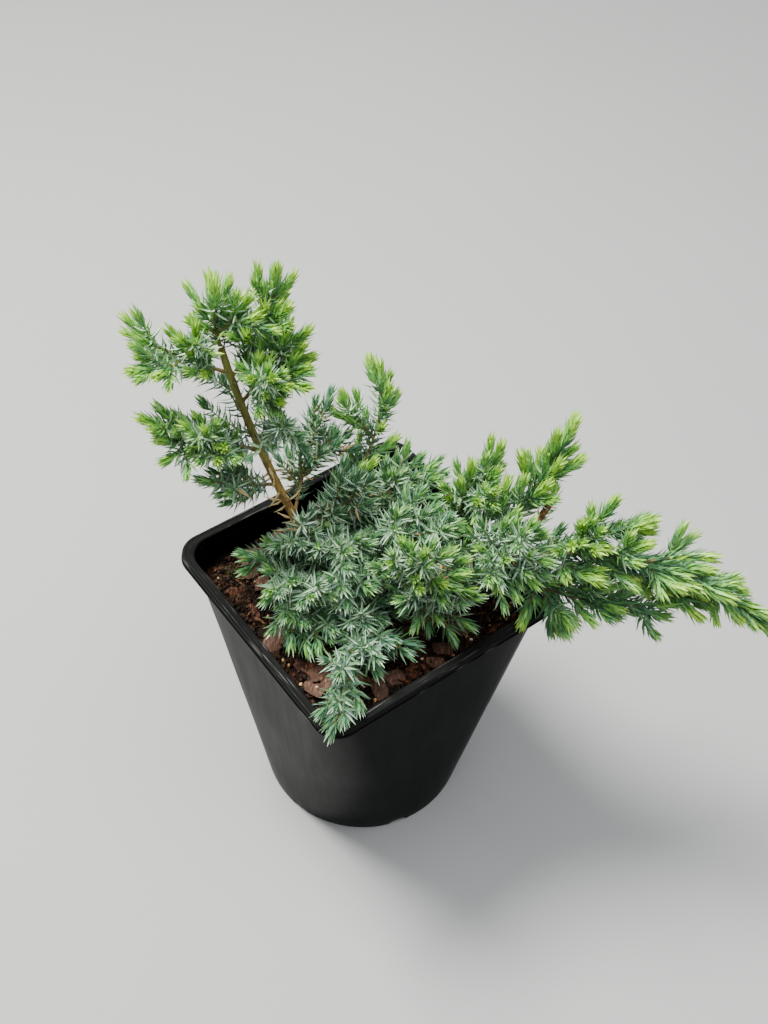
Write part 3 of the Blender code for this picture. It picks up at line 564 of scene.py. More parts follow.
def limb_radius(limb, share):
    """Taper in metres, with a flare at the trunk's foot."""
    radius = (limb.root + (limb.tip - limb.root) * share) * MM
    if limb.on is None:
        height = share * limb.length * MM
        radius += FLARE_WIDTH * max(0.0, 1 - height / FLARE_HEIGHT) ** 2
    return radius


def limb_paths():
    """Centre lines of the trunk and boughs by name, each from its carrier's centre line."""
    paths = {}
    for limb in (TRUNK, *BOUGHS):
        first = heading(limb.azimuth - limb.turn, limb.rise - limb.lift)
        last = heading(limb.azimuth, limb.rise)
        start = FOOT
        if limb.on is not None:
            start, way = place_at(paths[limb.on], limb.at)
            if limb.at == 1.0:
                start, first = start + way * CLEAR, way
        paths[limb.name] = sweep(start, first, last, limb.length * MM, LIMB_STEP)
    return paths


def along_sides(point):
    """A world place measured along the pot's own sides."""
    c, s = math.cos(POT_TURN), math.sin(POT_TURN)
    return c * point.x + s * point.y, -s * point.x + c * point.y


class Twig:
    """One lead, shoot or sprig: its points, its stem's radii and the mass it belongs to."""

    def __init__(self, points, radii, owner, bare):
        self.points = points
        self.radii = radii
        self.owner = owner
        self.bare = bare
        self.age = 0.0
        self.fresh = 0.0
        self.old = OLD_FOOT
        self.by_leader = owner.startswith("leader") or owner in ("trunk", "back_left")


class Room:
    """What a mass has to stay clear of: the limbs, the pot and the twigs of other masses."""

    def __init__(self, paths):
        self.limbs = []
        for limb in (TRUNK, *BOUGHS):
            points = paths[limb.name]
            fine = 4 * (len(points) - 1)
            for k in range(fine + 1):
                point, _ = place_at(points, k / fine)
                self.limbs.append((point, limb_radius(limb, k / fine), limb.name))
        self.limb_tree = KDTree(len(self.limbs))
        for k, (point, _, _) in enumerate(self.limbs):
            self.limb_tree.insert(point, k)
        self.limb_tree.balance()
        self.leader_points = 4 * (len(paths["trunk"]) - 1) + 1
        self.twigs = []
        self.cells = {}

    def hits_limb(self, point, gap, but=None):
        for _, k, away in self.limb_tree.find_range(point, THICKEST_LIMB):
            _, radius, name = self.limbs[k]
            if name != but and away < radius + gap:
                return True
        return False

    def hides_stub(self, root, tip):
        """Whether a needle would stand close to the cut stub, whose bark lies open."""
        for point in (root, tip):
            for _, k, away in self.limb_tree.find_range(point, STUB_FREE):
                if self.limbs[k][2] == STUB.name:
                    return True
        return False

    def hides_leader(self, root, tip):
        """Whether a needle would cross the leader's stem, which lies open to the front and above."""
        for point in (root, root.lerp(tip, 0.5), tip):
            for stem, _, name in self.limbs[:self.leader_points]:
                away = point - stem
                ahead = away.dot(OPEN_SIDE)
                if ahead > 0 and (away - OPEN_SIDE * ahead).length < LEADER_FREE:
                    return True
        return False

    def hits_pot(self, point, gap):
        u, w = along_sides(point)
        out = max(abs(u), abs(w))
        inside = RIM_HALF - FLANGE_WIDTH - gap
        if out < inside:
            return point.z < MIX_LEVEL + MIX_LUMP + gap
        return out < RIM_HALF + gap and point.z < POT_HEIGHT + gap

    def hits_twig(self, point, owner, run):
        for twig in self.twigs:
            gap = TWIG_GAP
            if twig.owner == owner:
                if run < FORK_FREE:
                    continue
                gap = FORK_GAP
            if (twig.points[0] - point).length > gap + twig_length(twig.points):
                continue
            if any((p - point).length < gap for p in twig.points):
                return True
        return False

    def trim(self, points, owner, free=0.0, but=None):
        """The first points of a run that stay clear of everything of another owner."""
        kept = []
        run = 0.0
        for k, point in enumerate(points):
            if k:
                run += (point - points[k - 1]).length
            if run > free:
                blocked = self.hits_limb(point, LIMB_GAP + SHOOT_RADIUS[0], but)
                blocked = blocked or self.hits_pot(point, POT_GAP + SHOOT_RADIUS[0])
                if blocked or self.hits_twig(point, owner, run):
                    break
            kept.append(point)
        return kept

    def cell_of(self, point):
        return tuple(int(math.floor(c / TWIG_GAP)) for c in point)

    def mark(self, twig):
        """Notes a twig's points for the sprigs, which keep a smaller distance."""
        for point in twig.points:
            self.cells.setdefault(self.cell_of(point), []).append((point, twig))

    def trim_sprig(self, points, carrier, but=None):
        """The first points of a sprig that stay clear of other twigs, the limbs and the pot."""
        kept = points[:1]
        for point in points[1:]:
            if self.hits_limb(point, LIMB_GAP, but) or self.hits_pot(point, POT_GAP):
                break
            x, y, z = self.cell_of(point)
            near = [entry for dx in (-1, 0, 1) for dy in (-1, 0, 1) for dz in (-1, 0, 1)
                    for entry in self.cells.get((x + dx, y + dy, z + dz), ())]
            if any(twig is not carrier and (p - point).length < SPRIG_GAP for p, twig in near):
                break
            kept.append(point)
        return kept


def twig_length(points):
    return (len(points) - 1) * TWIG_STEP


def cross_axis(way):
    """Two unit vectors square to a direction, turning with it."""
    side = way.cross(UP)
    if side.length < 0.05:
        side = way.cross(Vector((0, 1, 0)))
    side.normalize()
    return side, side.cross(way).normalized()


def shoot_run(point, way, roll, along, length):
    """A side shoot stands out more the older it is, then bends forward and a little up to the
    light."""
    side, rise = cross_axis(way)
    out = side * math.cos(roll) + rise * math.sin(roll)
    spread = SHOOT_SPREAD[0] + (SHOOT_SPREAD[1] - SHOOT_SPREAD[0]) * along
    first = (way * math.cos(spread) + out * math.sin(spread)).normalized()
    last = (first + way * 1.1 + UP * 0.3).normalized()
    return sweep(point, first, last, length, TWIG_STEP)


def grow_leads(mass, paths, room):
    """The leads of a mass: the first from its carrier, the others from along the first."""
    leads = []
    for k, lead in enumerate(mass.leads):
        first = heading(lead.azimuth, lead.rise - lead.lift)
        last = heading(lead.azimuth, lead.rise)
        free, but = 0.0, None
        if k == 0:
            start, way = place_at(paths[mass.on], mass.at)
            but = mass.on
            if mass.at == 1.0:
                start, first = start + way * CLEAR, way
            else:
                free = LEAVE_TRUNK
        else:
            start, _ = place_at(leads[0].points, lead.at)
        length = lead.length * MM - TIP_REACH
        points = room.trim(sweep(start, first, last, length, TWIG_STEP), mass.name, free, but)
        if twig_length(points) > SHORTEST_TWIG:
            leads.append(Twig(points, LEAD_STEM, mass.name, BARE_ROOT + free))
            room.twigs.append(leads[-1])
    return leads


def grow_shoots(mass, leads, room):
    """Side shoots a golden angle apart along each lead, whose root and tip stay free of them."""
    rng = random.Random(mass.seed)
    grown = []
    for twig in leads:
        roll = rng.uniform(0, 2 * math.pi)
        length = twig_length(twig.points)
        first = twig.bare + SHOOT_START
        last = length - SHOOT_END
        count = max(0, round((last - first) / SHOOT_PITCH))
        for k in range(count):
            along = (first + (last - first) * (k + 0.5) / count) / length
            roll += GOLDEN_ANGLE + rng.uniform(-0.3, 0.3)
            reach = SHOOT_LENGTH * (1.15 - 0.5 * along) * rng.uniform(0.8, 1.2)
            point, way = place_at(twig.points, along)
            run = room.trim(shoot_run(point, way, roll, along, reach), mass.name)
            if twig_length(run) >= SHORTEST_TWIG:
                shoot = Twig(run, SHOOT_STEM, mass.name, BARE_ROOT)
                shoot.age = 1 - along
                room.twigs.append(shoot)
                grown.append(shoot)
    return grown


def grow_sprig(point, way, roll, along, reach, carrier, owner, room, but=None):
    """One sprig, or None if too little room is left for it."""
    run = room.trim_sprig(shoot_run(point, way, roll, along, reach), carrier, but)
    if twig_length(run) < SHORTEST_SPRIG:
        return None
    sprig = Twig(run, SPRIG_STEM, owner, SPRIG_BARE)
    room.mark(sprig)
    return sprig


def grow_sprigs(mass, twigs, room):
    """Short sprigs between the shoots, which fill the crown within the same reach."""
    rng = random.Random(mass.seed + SPRIG_SEED)
    grown = []
    for twig in twigs:
        roll = rng.uniform(0, 2 * math.pi)
        length = twig_length(twig.points)
        first = twig.bare + MM
        last = length - SPRIG_END
        count = max(0, round((last - first) / SPRIG_PITCH))
        for k in range(count):
            along = (first + (last - first) * (k + rng.random()) / count) / length
            roll += GOLDEN_ANGLE + rng.uniform(-0.4, 0.4)
            reach = SPRIG_LENGTH * (1.15 - 0.5 * along) * rng.uniform(0.7, 1.25)
            point, way = place_at(twig.points, along)
            sprig = grow_sprig(point, way, roll, along, reach, twig, mass.name, room)
            if sprig is not None:
                sprig.age = (1 - along) * 0.7 + twig.age * 0.3
                grown.append(sprig)
    return grown


def grow_limb_sprigs(paths, room):
    """Sprigs straight from the leader's young half and from the boughs."""
    rng = random.Random(LIMB_SPRIG_SEED)
    grown = []
    for limb in (TRUNK, *LEAFY_BOUGHS):
        length = limb.length * MM
        roll = rng.uniform(0, 2 * math.pi)
        run = BOUGH_START if limb.at < 1.0 else LIMB_SPRIGS
        if limb is TRUNK:
            run = LEADER_START * length
        while run < length:
            roll += GOLDEN_ANGLE + rng.uniform(-0.4, 0.4)
            point, way = place_at(paths[limb.name], run / length)
            reach = SPRIG_LENGTH * rng.uniform(0.8, 1.4)
            if limb is TRUNK or limb.name.startswith("back"):
                reach *= LONG_SPRIGS
            sprig = grow_sprig(point, way, roll, 0.2, reach, None, limb.name, room, limb.name)
            if sprig is not None:
                ahead = (sprig.points[-1] - point).normalized().dot(OPEN_SIDE)
                if limb is not TRUNK or ahead <= SPRIG_ASIDE:
                    sprig.age = 0.8
                    sprig.fresh = 0.3
                    grown.append(sprig)
            run += LIMB_SPRIGS * rng.uniform(0.8, 1.2)
    return grown


def grow_crown(paths):
    """All the twigs by mass: leads, then shoots, then sprigs."""
    room = Room(paths)
    leads = {mass.name: grow_leads(mass, paths, room) for mass in MASSES}
    shoots = {mass.name: grow_shoots(mass, leads[mass.name], room) for mass in MASSES}
    for twig in room.twigs:
        room.mark(twig)
    sprigs = {}
    for mass in MASSES:
        sprigs[mass.name] = grow_sprigs(mass, leads[mass.name] + shoots[mass.name], room)
        for twigs, share in ((leads, 1.0), (shoots, 0.85), (sprigs, 0.6)):
            for twig in twigs[mass.name]:
                twig.fresh = mass.fresh * share
                twig.old = mass.old
    return room, leads, shoots, sprigs, grow_limb_sprigs(paths, room)


# Mesh helpers

def new_object(name, mesh):
    thing = bpy.data.objects.new(name, mesh)
    bpy.context.scene.collection.objects.link(thing)
    return thing


def plain_mesh(thing):
    """Applies an object's modifiers or curve and leaves a mesh object of the same name."""
    bpy.context.view_layer.update()
    graph = bpy.context.evaluated_depsgraph_get()
    mesh = bpy.data.meshes.new_from_object(thing.evaluated_get(graph), depsgraph=graph)
    name = thing.name
    bpy.data.objects.remove(thing, do_unlink=True)
    mesh.name = name
    return new_object(name, mesh)


def built(name, work, outwards=True):
    """An object of a finished bmesh, its faces turned outwards unless it is an open sheet."""
    if outwards:
        bmesh.ops.recalc_face_normals(work, faces=work.faces)
    mesh = bpy.data.meshes.new(name)
    work.to_mesh(mesh)
    work.free()
    return new_object(name, mesh)


def paint(thing, material, sharp=None):
    """One smooth material, with edges kept sharp over an angle in degrees."""
    thing.data.materials.clear()
    thing.data.materials.append(material)
    thing.data.shade_smooth()
    if sharp is not None:
        thing.data.set_sharp_from_angle(angle=math.radians(sharp))


def finish_piece(piece, slot, *replaced):
    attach(piece, BODY)
    if replaced:
        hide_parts(*replaced)


# Needles

Needle = namedtuple("Needle", "root lean face length")


def needle_age(twig, from_tip, share, rng):
    """Which colour a needle takes: fresh at a vigorous tip, dull or dead at an old foot."""
    fresh = twig.fresh * math.exp(-from_tip / FRESH_FALL) + rng.uniform(-0.12, 0.12)
    old = twig.old * (1 - share) * (0.4 + twig.age) + rng.uniform(-0.15, 0.15)
    if old > OLD_FROM:
        return "dead" if rng.random() < DEAD_SHARE else "dull"
    for age, least in (("fresh", FRESH_FROM), ("bright", BRIGHT_FROM), ("green", GREEN_FROM)):
        if fresh > least:
            return age
    return "blue" if rng.random() < BLUE_SHARE else "green"


def inner_face(way, lean):
    """The side of a needle that looks along its stem."""
    return (way - lean * lean.dot(way)).normalized()


def add_needle(room, needles, age, root, lean, way, size):
    """Keeps a needle whose tip is clear of the pot, the mix and the limbs."""
    tip = root + lean * size
    if not (room.hits_pot(tip, CLEAR) or room.hits_limb(tip, 0.0)):
        needles[age].append(Needle(root, lean, inner_face(way, lean), size))


def whorl(way, side, turn, angle, rng):
    """The directions of three needles round a stem."""
    rise = side.cross(way)
    leans = []
    for k in range(3):
        around = turn + k * 2 * math.pi / 3 + rng.uniform(-0.2, 0.2)
        out = side * math.cos(around) + rise * math.sin(around)
        spread = angle + rng.uniform(-0.15, 0.15)
        leans.append((out, way * math.cos(spread) + out * math.sin(spread)))
    return leans


def dress_twig(twig, room, rng, needles, longest):
    """Whorls along a twig, wide open at its foot and closed like a brush over its bud."""
    points = twig.points
    length = sum((b - a).length for a, b in zip(points, points[1:]))
    reach = length + BUD
    closed = CLOSED_BUD + CLOSED_FRESH * twig.fresh ** 2
    most, least = NEEDLE_OPEN, NEEDLE_CLOSED
    if twig.owner in BRUSHES:
        most, least = BRUSH_OPEN, BRUSH_CLOSED
    side, _ = cross_axis(points[1] - points[0])
    last_point, last_way = place_at(points, 1.0)
    run = twig.bare
    turn = rng.uniform(0, 2 * math.pi)
    while run < reach:
        from_tip = reach - run
        point, way = place_at(points, min(run, length) / length)
        if run > length:
            point, way = last_point + last_way * (run - length), last_way
        side = (side - way * side.dot(way)).normalized()
        turn += math.pi / 3 + rng.uniform(-0.15, 0.15)
        part = min(1.0, max(0.0, (from_tip - closed) / OPENING))
        shut = 1 - part * part * (3 - 2 * part)
        angle = most + (least - most) * shut
        for out, lean in whorl(way, side, turn, angle, rng):
            shorter = SHORTER_AT_TIP * math.exp(-from_tip / SHORTER_WITHIN)
            size = longest * (1 - shorter) * rng.uniform(0.82, 1.1)
            age = needle_age(twig, from_tip, run / reach, rng)
            root = point + out * SUNK
            if twig.owner != "stub_needles" and room.hides_stub(root, root + lean * size):
                continue
            if twig.by_leader and room.hides_leader(root, root + lean * size):
                if rng.random() > LEADER_CROSSED:
                    continue
            add_needle(room, needles, age, root, lean, way, size)
        step = WHORL_PITCH + (TIP_PITCH - WHORL_PITCH) * shut
        run += step * BRUSH_PITCH if twig.owner in BRUSHES else step


def stray_needle(limb, path, share, outwards, forwards, rng):
    """Root, lean and inner face of a lone needle on a limb, at any side of it."""
    point, way = place_at(path, share)
    side, rise = cross_axis(way)
    around = rng.uniform(0, 2 * math.pi)
    out = side * math.cos(around) + rise * math.sin(around)
    lean = (out * outwards + way * rng.uniform(*forwards)).normalized()
    return point + out * limb_radius(limb, share), lean, inner_face(way, lean)


def dress_limbs(paths, room, needles):
    """Sparse old needles on the boughs, dead ones round the leader's foot, dry ones on the stub."""
    rng = random.Random(OLD_NEEDLE_SEED)
    for limb in LEAFY_BOUGHS:
        points = paths[limb.name]
        length = limb.length * MM
        side, _ = cross_axis(points[1] - points[0])
        run = 6 * MM
        while run < length:
            point, way = place_at(points, run / length)
            side = (side - way * side.dot(way)).normalized()
            for out, lean in whorl(way, side, rng.uniform(0, 6.3), BOUGH_OPEN, rng):
                root = point + out * limb_radius(limb, run / length)
                age = rng.choice(("dull", "blue", "green", "dull", "dead"))
                if out.z > UNDERSIDE:
                    size = NEEDLE_LENGTH * rng.uniform(0.7, 1.0)
                    add_needle(room, needles, age, root, lean, way, size)
            run += BOUGH_WHORLS * rng.uniform(0.8, 1.3)
    for _ in range(DEAD_ON_TRUNK):
        share = 0.08 + 0.42 * rng.random()
        place = stray_needle(TRUNK, paths["trunk"], share, 1.0, (-0.5, 0.5), rng)
        needles["dead"].append(Needle(*place, rng.uniform(8, 14) * MM))
    for _ in range(DRY_ON_STUB):
        share = 0.7 + 0.3 * rng.random()
        place = stray_needle(STUB, paths[STUB.name], share, 0.7, (0.4, 1.2), rng)
        age = rng.choice(("dead", "dead", "bright"))
        needles[age].append(Needle(*place, rng.uniform(5, 8) * MM))


def needle_shape():
    """One awl needle along +Z, a unit long and a unit wide, its banded inner face towards +X."""
    work = bmesh.new()
    band = work.faces.layers.int.new("band")
    rows = []
    for height, width, bend in ((0.0, 0.7, 0.0), (0.38, 1.0, -0.15)):
        corners = ((0.18, -BAND_SHARE / 2), (0.18, BAND_SHARE / 2), (-0.16, 0.5), (-0.16, -0.5))
        rows.append([work.verts.new((bend + x * width, y * width, height)) for x, y in corners])
    tip = work.verts.new((0.35, 0, 1))
    low, high = rows
    for k in range(4):
        following = (k + 1) % 4
        side = work.faces.new((low[k], low[following], high[following], high[k]))
        point = work.faces.new((high[k], high[following], tip))
        side[band] = point[band] = int(k == 0)
    work.faces.new(reversed(low))
    return built("needle_shape", work)


class Tree(Nodes):
    """A geometry node tree that is built in the script, with named inputs."""

    def __init__(self, name):
        self.tree = bpy.data.node_groups.new(name, "GeometryNodeTree")
        self.tree.is_modifier = True
        for way in ("INPUT", "OUTPUT"):
            self.tree.interface.new_socket("Geometry", in_out=way, socket_type="NodeSocketGeometry")
        self.entry = self.tree.nodes.new("NodeGroupInput")
        self.exit = self.tree.nodes.new("NodeGroupOutput")

    def input(self, name, kind):
        self.tree.interface.new_socket(name, in_out="INPUT", socket_type="NodeSocket" + kind)
        return self.entry.outputs[name]

    def named(self, name, kind):
        """A stored attribute of the points or faces."""
        return self.node("GeometryNodeInputNamedAttribute", {"data_type": kind}, {"Name": name}).outputs[0]

    def strewn(self, points, thing, turn, size):
        """A copy of a thing on each point, made real."""
        placed = self.node("GeometryNodeInstanceOnPoints", {}, {
            "Points": points, "Instance": self.node("GeometryNodeObjectInfo", {}, {
                "Object": thing}).outputs["Geometry"], "Rotation": turn, "Scale": size})
        real = self.node("GeometryNodeRealizeInstances", {}, {"Geometry": placed.outputs["Instances"]})
        return real.outputs["Geometry"]

    def painted(self, geometry, material, **chosen):
        return self.node("GeometryNodeSetMaterial", {}, {
            "Geometry": geometry, "Material": material, **chosen}).outputs["Geometry"]

    def put_on(self, thing, **values):
        """Adds the tree as a modifier, with its inputs set by identifier."""
        modifier = thing.modifiers.new(self.tree.name, "NODES")
        modifier.node_group = self.tree
        for socket in self.tree.interface.items_tree:
            if socket.in_out == "INPUT" and socket.name in values:
                modifier[socket.identifier] = values[socket.name]


def needle_tree():
    """Sets a needle on each point, along its lean, and paints its skin and its band."""
    tree = Tree("needles_on_points")
    shape = tree.input("Needle", "Object")
    skin = tree.input("Skin", "Material")
    wax = tree.input("Band", "Material")
    turn = tree.node("FunctionNodeAxesToRotation", {"primary_axis": "Z", "secondary_axis": "X"}, {
        0: tree.named("lean", "FLOAT_VECTOR"), 1: tree.named("face", "FLOAT_VECTOR")})
    real = tree.strewn(tree.entry.outputs["Geometry"], shape, turn.outputs[0],
                       tree.named("size", "FLOAT_VECTOR"))
    banded = tree.painted(tree.painted(real, skin), wax, Selection=tree.named("band", "BOOLEAN"))
    tree.feed(tree.exit.inputs["Geometry"], banded)
    return tree


def needle_points(name, needles):
    """One point for each needle, with the way it leans, its inner face and its size."""
    mesh = bpy.data.meshes.new(name)
    mesh.vertices.add(len(needles))
    mesh.vertices.foreach_set("co", [c for needle in needles for c in needle.root])
    sizes = []
    for needle in needles:
        width = NEEDLE_WIDTH * (0.45 + 0.55 * needle.length / NEEDLE_LENGTH)
        sizes.append((width, width, needle.length))
    for label, vectors in (("lean", [needle.lean for needle in needles]),
                           ("face", [needle.face for needle in needles]), ("size", sizes)):
        attribute = mesh.attributes.new(label, "FLOAT_VECTOR", "POINT")
        attribute.data.foreach_set("vector", [c for vector in vectors for c in vector])
    return new_object(name, mesh)


def make_needles(paths, room, leads, shoots, sprigs, limb_sprigs):
    """Dresses every twig and joins the needles by age, in pieces of a limited size."""
    needles = {age: [] for age in NEEDLE_AGES}
    for mass in MASSES:
        rng = random.Random(mass.seed + NEEDLE_SEED)
        for kind, share in ((leads, 1.0), (shoots, 1.0), (sprigs, SPRIG_NEEDLES)):
            for twig in kind[mass.name]:
                dress_twig(twig, room, rng, needles, NEEDLE_LENGTH * share)
    rng = random.Random(LIMB_NEEDLE_SEED)
    for twig in limb_sprigs:
        dress_twig(twig, room, rng, needles, NEEDLE_LENGTH * LIMB_NEEDLES)
    dress_limbs(paths, room, needles)
    shape = needle_shape()
    tree = needle_tree()
    pieces = []
    for age, (green, waxy) in NEEDLE_AGES.items():
        skin = needle_skin(age + "_needle_skin", green, 0.42)
        band = needle_skin(age + "_needle_band", waxy, 0.55)
        found = needles[age]
        for k in range(0, len(found), NEEDLES_IN_PIECE):
            name = "needles_" + age + "_" + str(k // NEEDLES_IN_PIECE + 1)
            points = needle_points(name, found[k:k + NEEDLES_IN_PIECE])
            tree.put_on(points, Needle=shape, Skin=skin, Band=band)
            piece = plain_mesh(points)
            for attribute in ("lean", "face", "size", "band"):
                if attribute in piece.data.attributes:
                    piece.data.attributes.remove(piece.data.attributes[attribute])
            pieces.append(piece)
    bpy.data.objects.remove(shape, do_unlink=True)
    return pieces


# Stems and bark

def make_stems(name, twigs, material):
    """All stems of one age as one bevelled curve, made a mesh."""
    curve = bpy.data.curves.new(name, "CURVE")
    curve.dimensions = "3D"
    curve.bevel_depth = MM
    curve.bevel_resolution = 1
    curve.use_fill_caps = True
    for twig in twigs:
        points = twig.points
        spline = curve.splines.new("POLY")
        spline.points.add(len(points) - 1)
        for k, point in enumerate(points):
            share = k / (len(points) - 1)
            spline.points[k].co = (*point, 1)
            spline.points[k].radius = (twig.radii[0] + (twig.radii[1] - twig.radii[0]) * share) / MM
    piece = plain_mesh(new_object(name, curve))
    paint(piece, material)
    return piece


def smooth_at(points, share):
    """As place_at, on a rounded line through the points."""
    run = share * (len(points) - 1)
    k = min(int(run), len(points) - 2)
    t = run - k
    before = points[max(k - 1, 0)]
    after = points[min(k + 2, len(points) - 1)]
    a, b = points[k], points[k + 1]
    lean_a, lean_b = (b - before) / 2, (after - a) / 2
    if k == 0:
        lean_a = b - a
    if k == len(points) - 2:
        lean_b = b - a
    place = (a * (2 * t ** 3 - 3 * t ** 2 + 1) + lean_a * (t ** 3 - 2 * t ** 2 + t)
             + b * (3 * t ** 2 - 2 * t ** 3) + lean_b * (t ** 3 - t ** 2))
    way = (a * (6 * t ** 2 - 6 * t) + lean_a * (3 * t ** 2 - 4 * t + 1)
           + b * (6 * t - 6 * t ** 2) + lean_b * (3 * t ** 2 - 2 * t))
    return place, way.normalized()


def bark_tube(work, limb, path, ragged=0.0):
    """A tapering tube with flaking ridges and a leaf scar at each old whorl."""
    length = limb.length * MM
    rings = round(length / BARK_STEP)
    side, _ = cross_axis(path[1] - path[0])
    rows = []
    for k in range(rings + 1):
        share = k / rings
        point, way = smooth_at(path, share)
        side = (side - way * side.dot(way)).normalized()
        rise = side.cross(way)
        along = share * length
        whorl = int(along / LEAF_SCAR_PITCH)
        from_scar = abs(along / LEAF_SCAR_PITCH - whorl - 0.5) * LEAF_SCAR_PITCH
        row = []
        for n in range(BARK_SIDES):
            angle = 2 * math.pi * n / BARK_SIDES
            out = side * math.cos(angle) + rise * math.sin(angle)
            streak = noise.noise(Vector((
                math.cos(angle) * RIDGES_ROUND, math.sin(angle) * RIDGES_ROUND, along / RIDGE_LENGTH)))
            bulge = max(0.0, math.cos(3 * (angle - whorl * math.pi / 3))) ** 4
            scar = LEAF_SCAR * bulge * max(0.0, 1 - from_scar / LEAF_SCAR_WIDTH)
            radius = limb_radius(limb, share) + BARK_RIDGE * streak + scar
            torn = ragged * max(0.0, share - RAGGED_FROM) / (1 - RAGGED_FROM)
            shift = way * torn * noise.noise(Vector((angle * 2, 0.5, 3.1)))
            row.append(work.verts.new(point + out * radius + shift))
        rows.append(row)
    for low, high in zip(rows, rows[1:]):
        for n in range(BARK_SIDES):
            m = (n + 1) % BARK_SIDES
            work.faces.new((low[n], low[m], high[m], high[n]))
    for row in (rows[0], rows[-1]):
        middle = work.verts.new(sum((v.co for v in row), Vector()) / BARK_SIDES)
        for n in range(BARK_SIDES):
            work.faces.new((row[n], row[(n + 1) % BARK_SIDES], middle))


def make_bark(name, limbs, paths, material, ragged=0.0):
    work = bmesh.new()
    for limb in limbs:
        bark_tube(work, limb, paths[limb.name], ragged)
    stems = built(name, work)
    paint(stems, material, 50)
    return stems


# Pot

def pot_turned(x, y):
    """A place given along the pot's own sides, in world axes."""
    c, s = math.cos(POT_TURN), math.sin(POT_TURN)
    return c * x - s * y, s * x + c * y


def ring_directions():
    """Where each point of a ring lies: its corner arc's angle, and how far along a side."""
    points = []
    for corner in range(4):
        for k in range(CORNER_POINTS + 1):
            points.append((corner, k / CORNER_POINTS, 0.0))
        for k in range(1, SIDE_POINTS):
            points.append((corner, 1.0, k / SIDE_POINTS))
    return points


RING = ring_directions()


def square_ring(half, corner_radius, z):
    ring = []
    for corner, bend, run in RING:
        angle = math.radians(90) * (corner + bend)
        centre = half - corner_radius
        middle = math.radians(90) * corner + math.radians(45)
        x = centre * math.copysign(1, math.cos(middle)) + corner_radius * math.cos(angle)
        y = centre * math.copysign(1, math.sin(middle)) + corner_radius * math.sin(angle)
        x -= 2 * centre * run * math.sin(angle)
        y += 2 * centre * run * math.cos(angle)
        ring.append(Vector((*pot_turned(x, y), z)))
    return ring


def round_ring(radius, z):
    ring = []
    count = len(RING)
    lead = math.radians(90) * SIDE_POINTS / (CORNER_POINTS + SIDE_POINTS) / 2
    for k in range(count):
        angle = 2 * math.pi * k / count + lead
        ring.append(Vector((*pot_turned(radius * math.cos(angle), radius * math.sin(angle)), z)))
    return ring


def wall_ring(z, inset):
    """The pot's wall at height z: a circle at the foot that turns into the rim's square."""
    rise = z / POT_HEIGHT
    top_half = RIM_HALF - FLANGE_WIDTH + WALL
    foot = round_ring(BASE_RADIUS - inset, z)
    top = square_ring(top_half - inset, RIM_CORNER - inset, z)
    ring = [a.lerp(b, rise) for a, b in zip(foot, top)]
    middle = math.sin(math.pi * min(1.0, max(0.0, z / (POT_HEIGHT - LIP_DROP))))
    for p in ring:
        flat = Vector((p.x, p.y, 0))
        p -= flat.normalized() * DENT * middle * (0.6 + noise.noise(p / DENT_WIDTH))
    return ring


def skin_rings(name, rings, centre_top=None):
    """Skins the rings in order, with a flat cap under the first and over the last."""
    work = bmesh.new()
    rows = [[work.verts.new(p) for p in ring] for ring in rings]
    count = len(rows[0])
    for low, high in zip(rows, rows[1:]):
        for k in range(count):
            n = (k + 1) % count
            work.faces.new((low[k], low[n], high[n], high[k]))
    work.faces.new(list(reversed(rows[0])))
    if centre_top is None:
        work.faces.new(rows[-1])
    else:
        middle = work.verts.new(centre_top)
        for k in range(count):
            work.faces.new((rows[-1][k], rows[-1][(k + 1) % count], middle))
    return built(name, work)


# The rim's section in millimetres: how far in from its edge, how much tighter its corner, how far
# under its top.
RIM_SECTION = (
    (LIP_THICK / MM, LIP_THICK / MM, FLANGE_THICK / MM), (LIP_THICK / MM, LIP_THICK / MM, LIP_DROP / MM),
    (0, 0, LIP_DROP / MM), (0, 0, 4.6), (0.5, 0, 4.1), (0.5, 0, 0.9), (1.3, 1, 0), (2.5, 2, 0),
    (3.1, 3, 0.45), (5.6, 1.6, 0.3), (6.3, 1.6, 0.9))


def make_pot():
    under = POT_HEIGHT - FLANGE_THICK
    rings = [wall_ring(0, BASE_CHAMFER), wall_ring(BASE_CHAMFER, 0)]
    for k in range(1, WALL_RINGS + 1):
        rings.append(wall_ring(under * k / WALL_RINGS, 0))
    for inwards, tighter, down in RIM_SECTION:
        rings.append(square_ring(RIM_HALF - inwards * MM, RIM_CORNER - tighter * MM, POT_HEIGHT - down * MM))
    for k in range(WALL_RINGS - 1, 0, -1):
        rings.append(wall_ring(under * k / WALL_RINGS, WALL))
    rings.append(wall_ring(FLOOR, WALL))
    pot = skin_rings("moulded_pot", rings)
    for k in range(DRAIN_NOTCHES):
        angle = 2 * math.pi * k / DRAIN_NOTCHES + POT_TURN + DRAIN_OFFSET
        reach = BASE_RADIUS - DRAIN_REACH / 2 + WALL
        bpy.ops.mesh.primitive_cylinder_add(
            vertices=32, radius=DRAIN_RADIUS, depth=DRAIN_REACH,
            location=(reach * math.cos(angle), reach * math.sin(angle), -DRAIN_DROP),
            rotation=(0, math.radians(90), angle))
        notch = bpy.context.object
        cut = pot.modifiers.new("notch", "BOOLEAN")
        cut.object = notch
        cut.solver = "EXACT"
        pot = plain_mesh(pot)
        bpy.data.objects.remove(notch, do_unlink=True)
    soften = pot.modifiers.new("soften", "BEVEL")
    soften.width = 0.35 * MM
    soften.segments = 2
    soften.limit_method = "ANGLE"
    soften.angle_limit = math.radians(35)
    pot = plain_mesh(pot)
    paint(pot, black_pot_plastic(), 40)
    return pot


# Potting mix

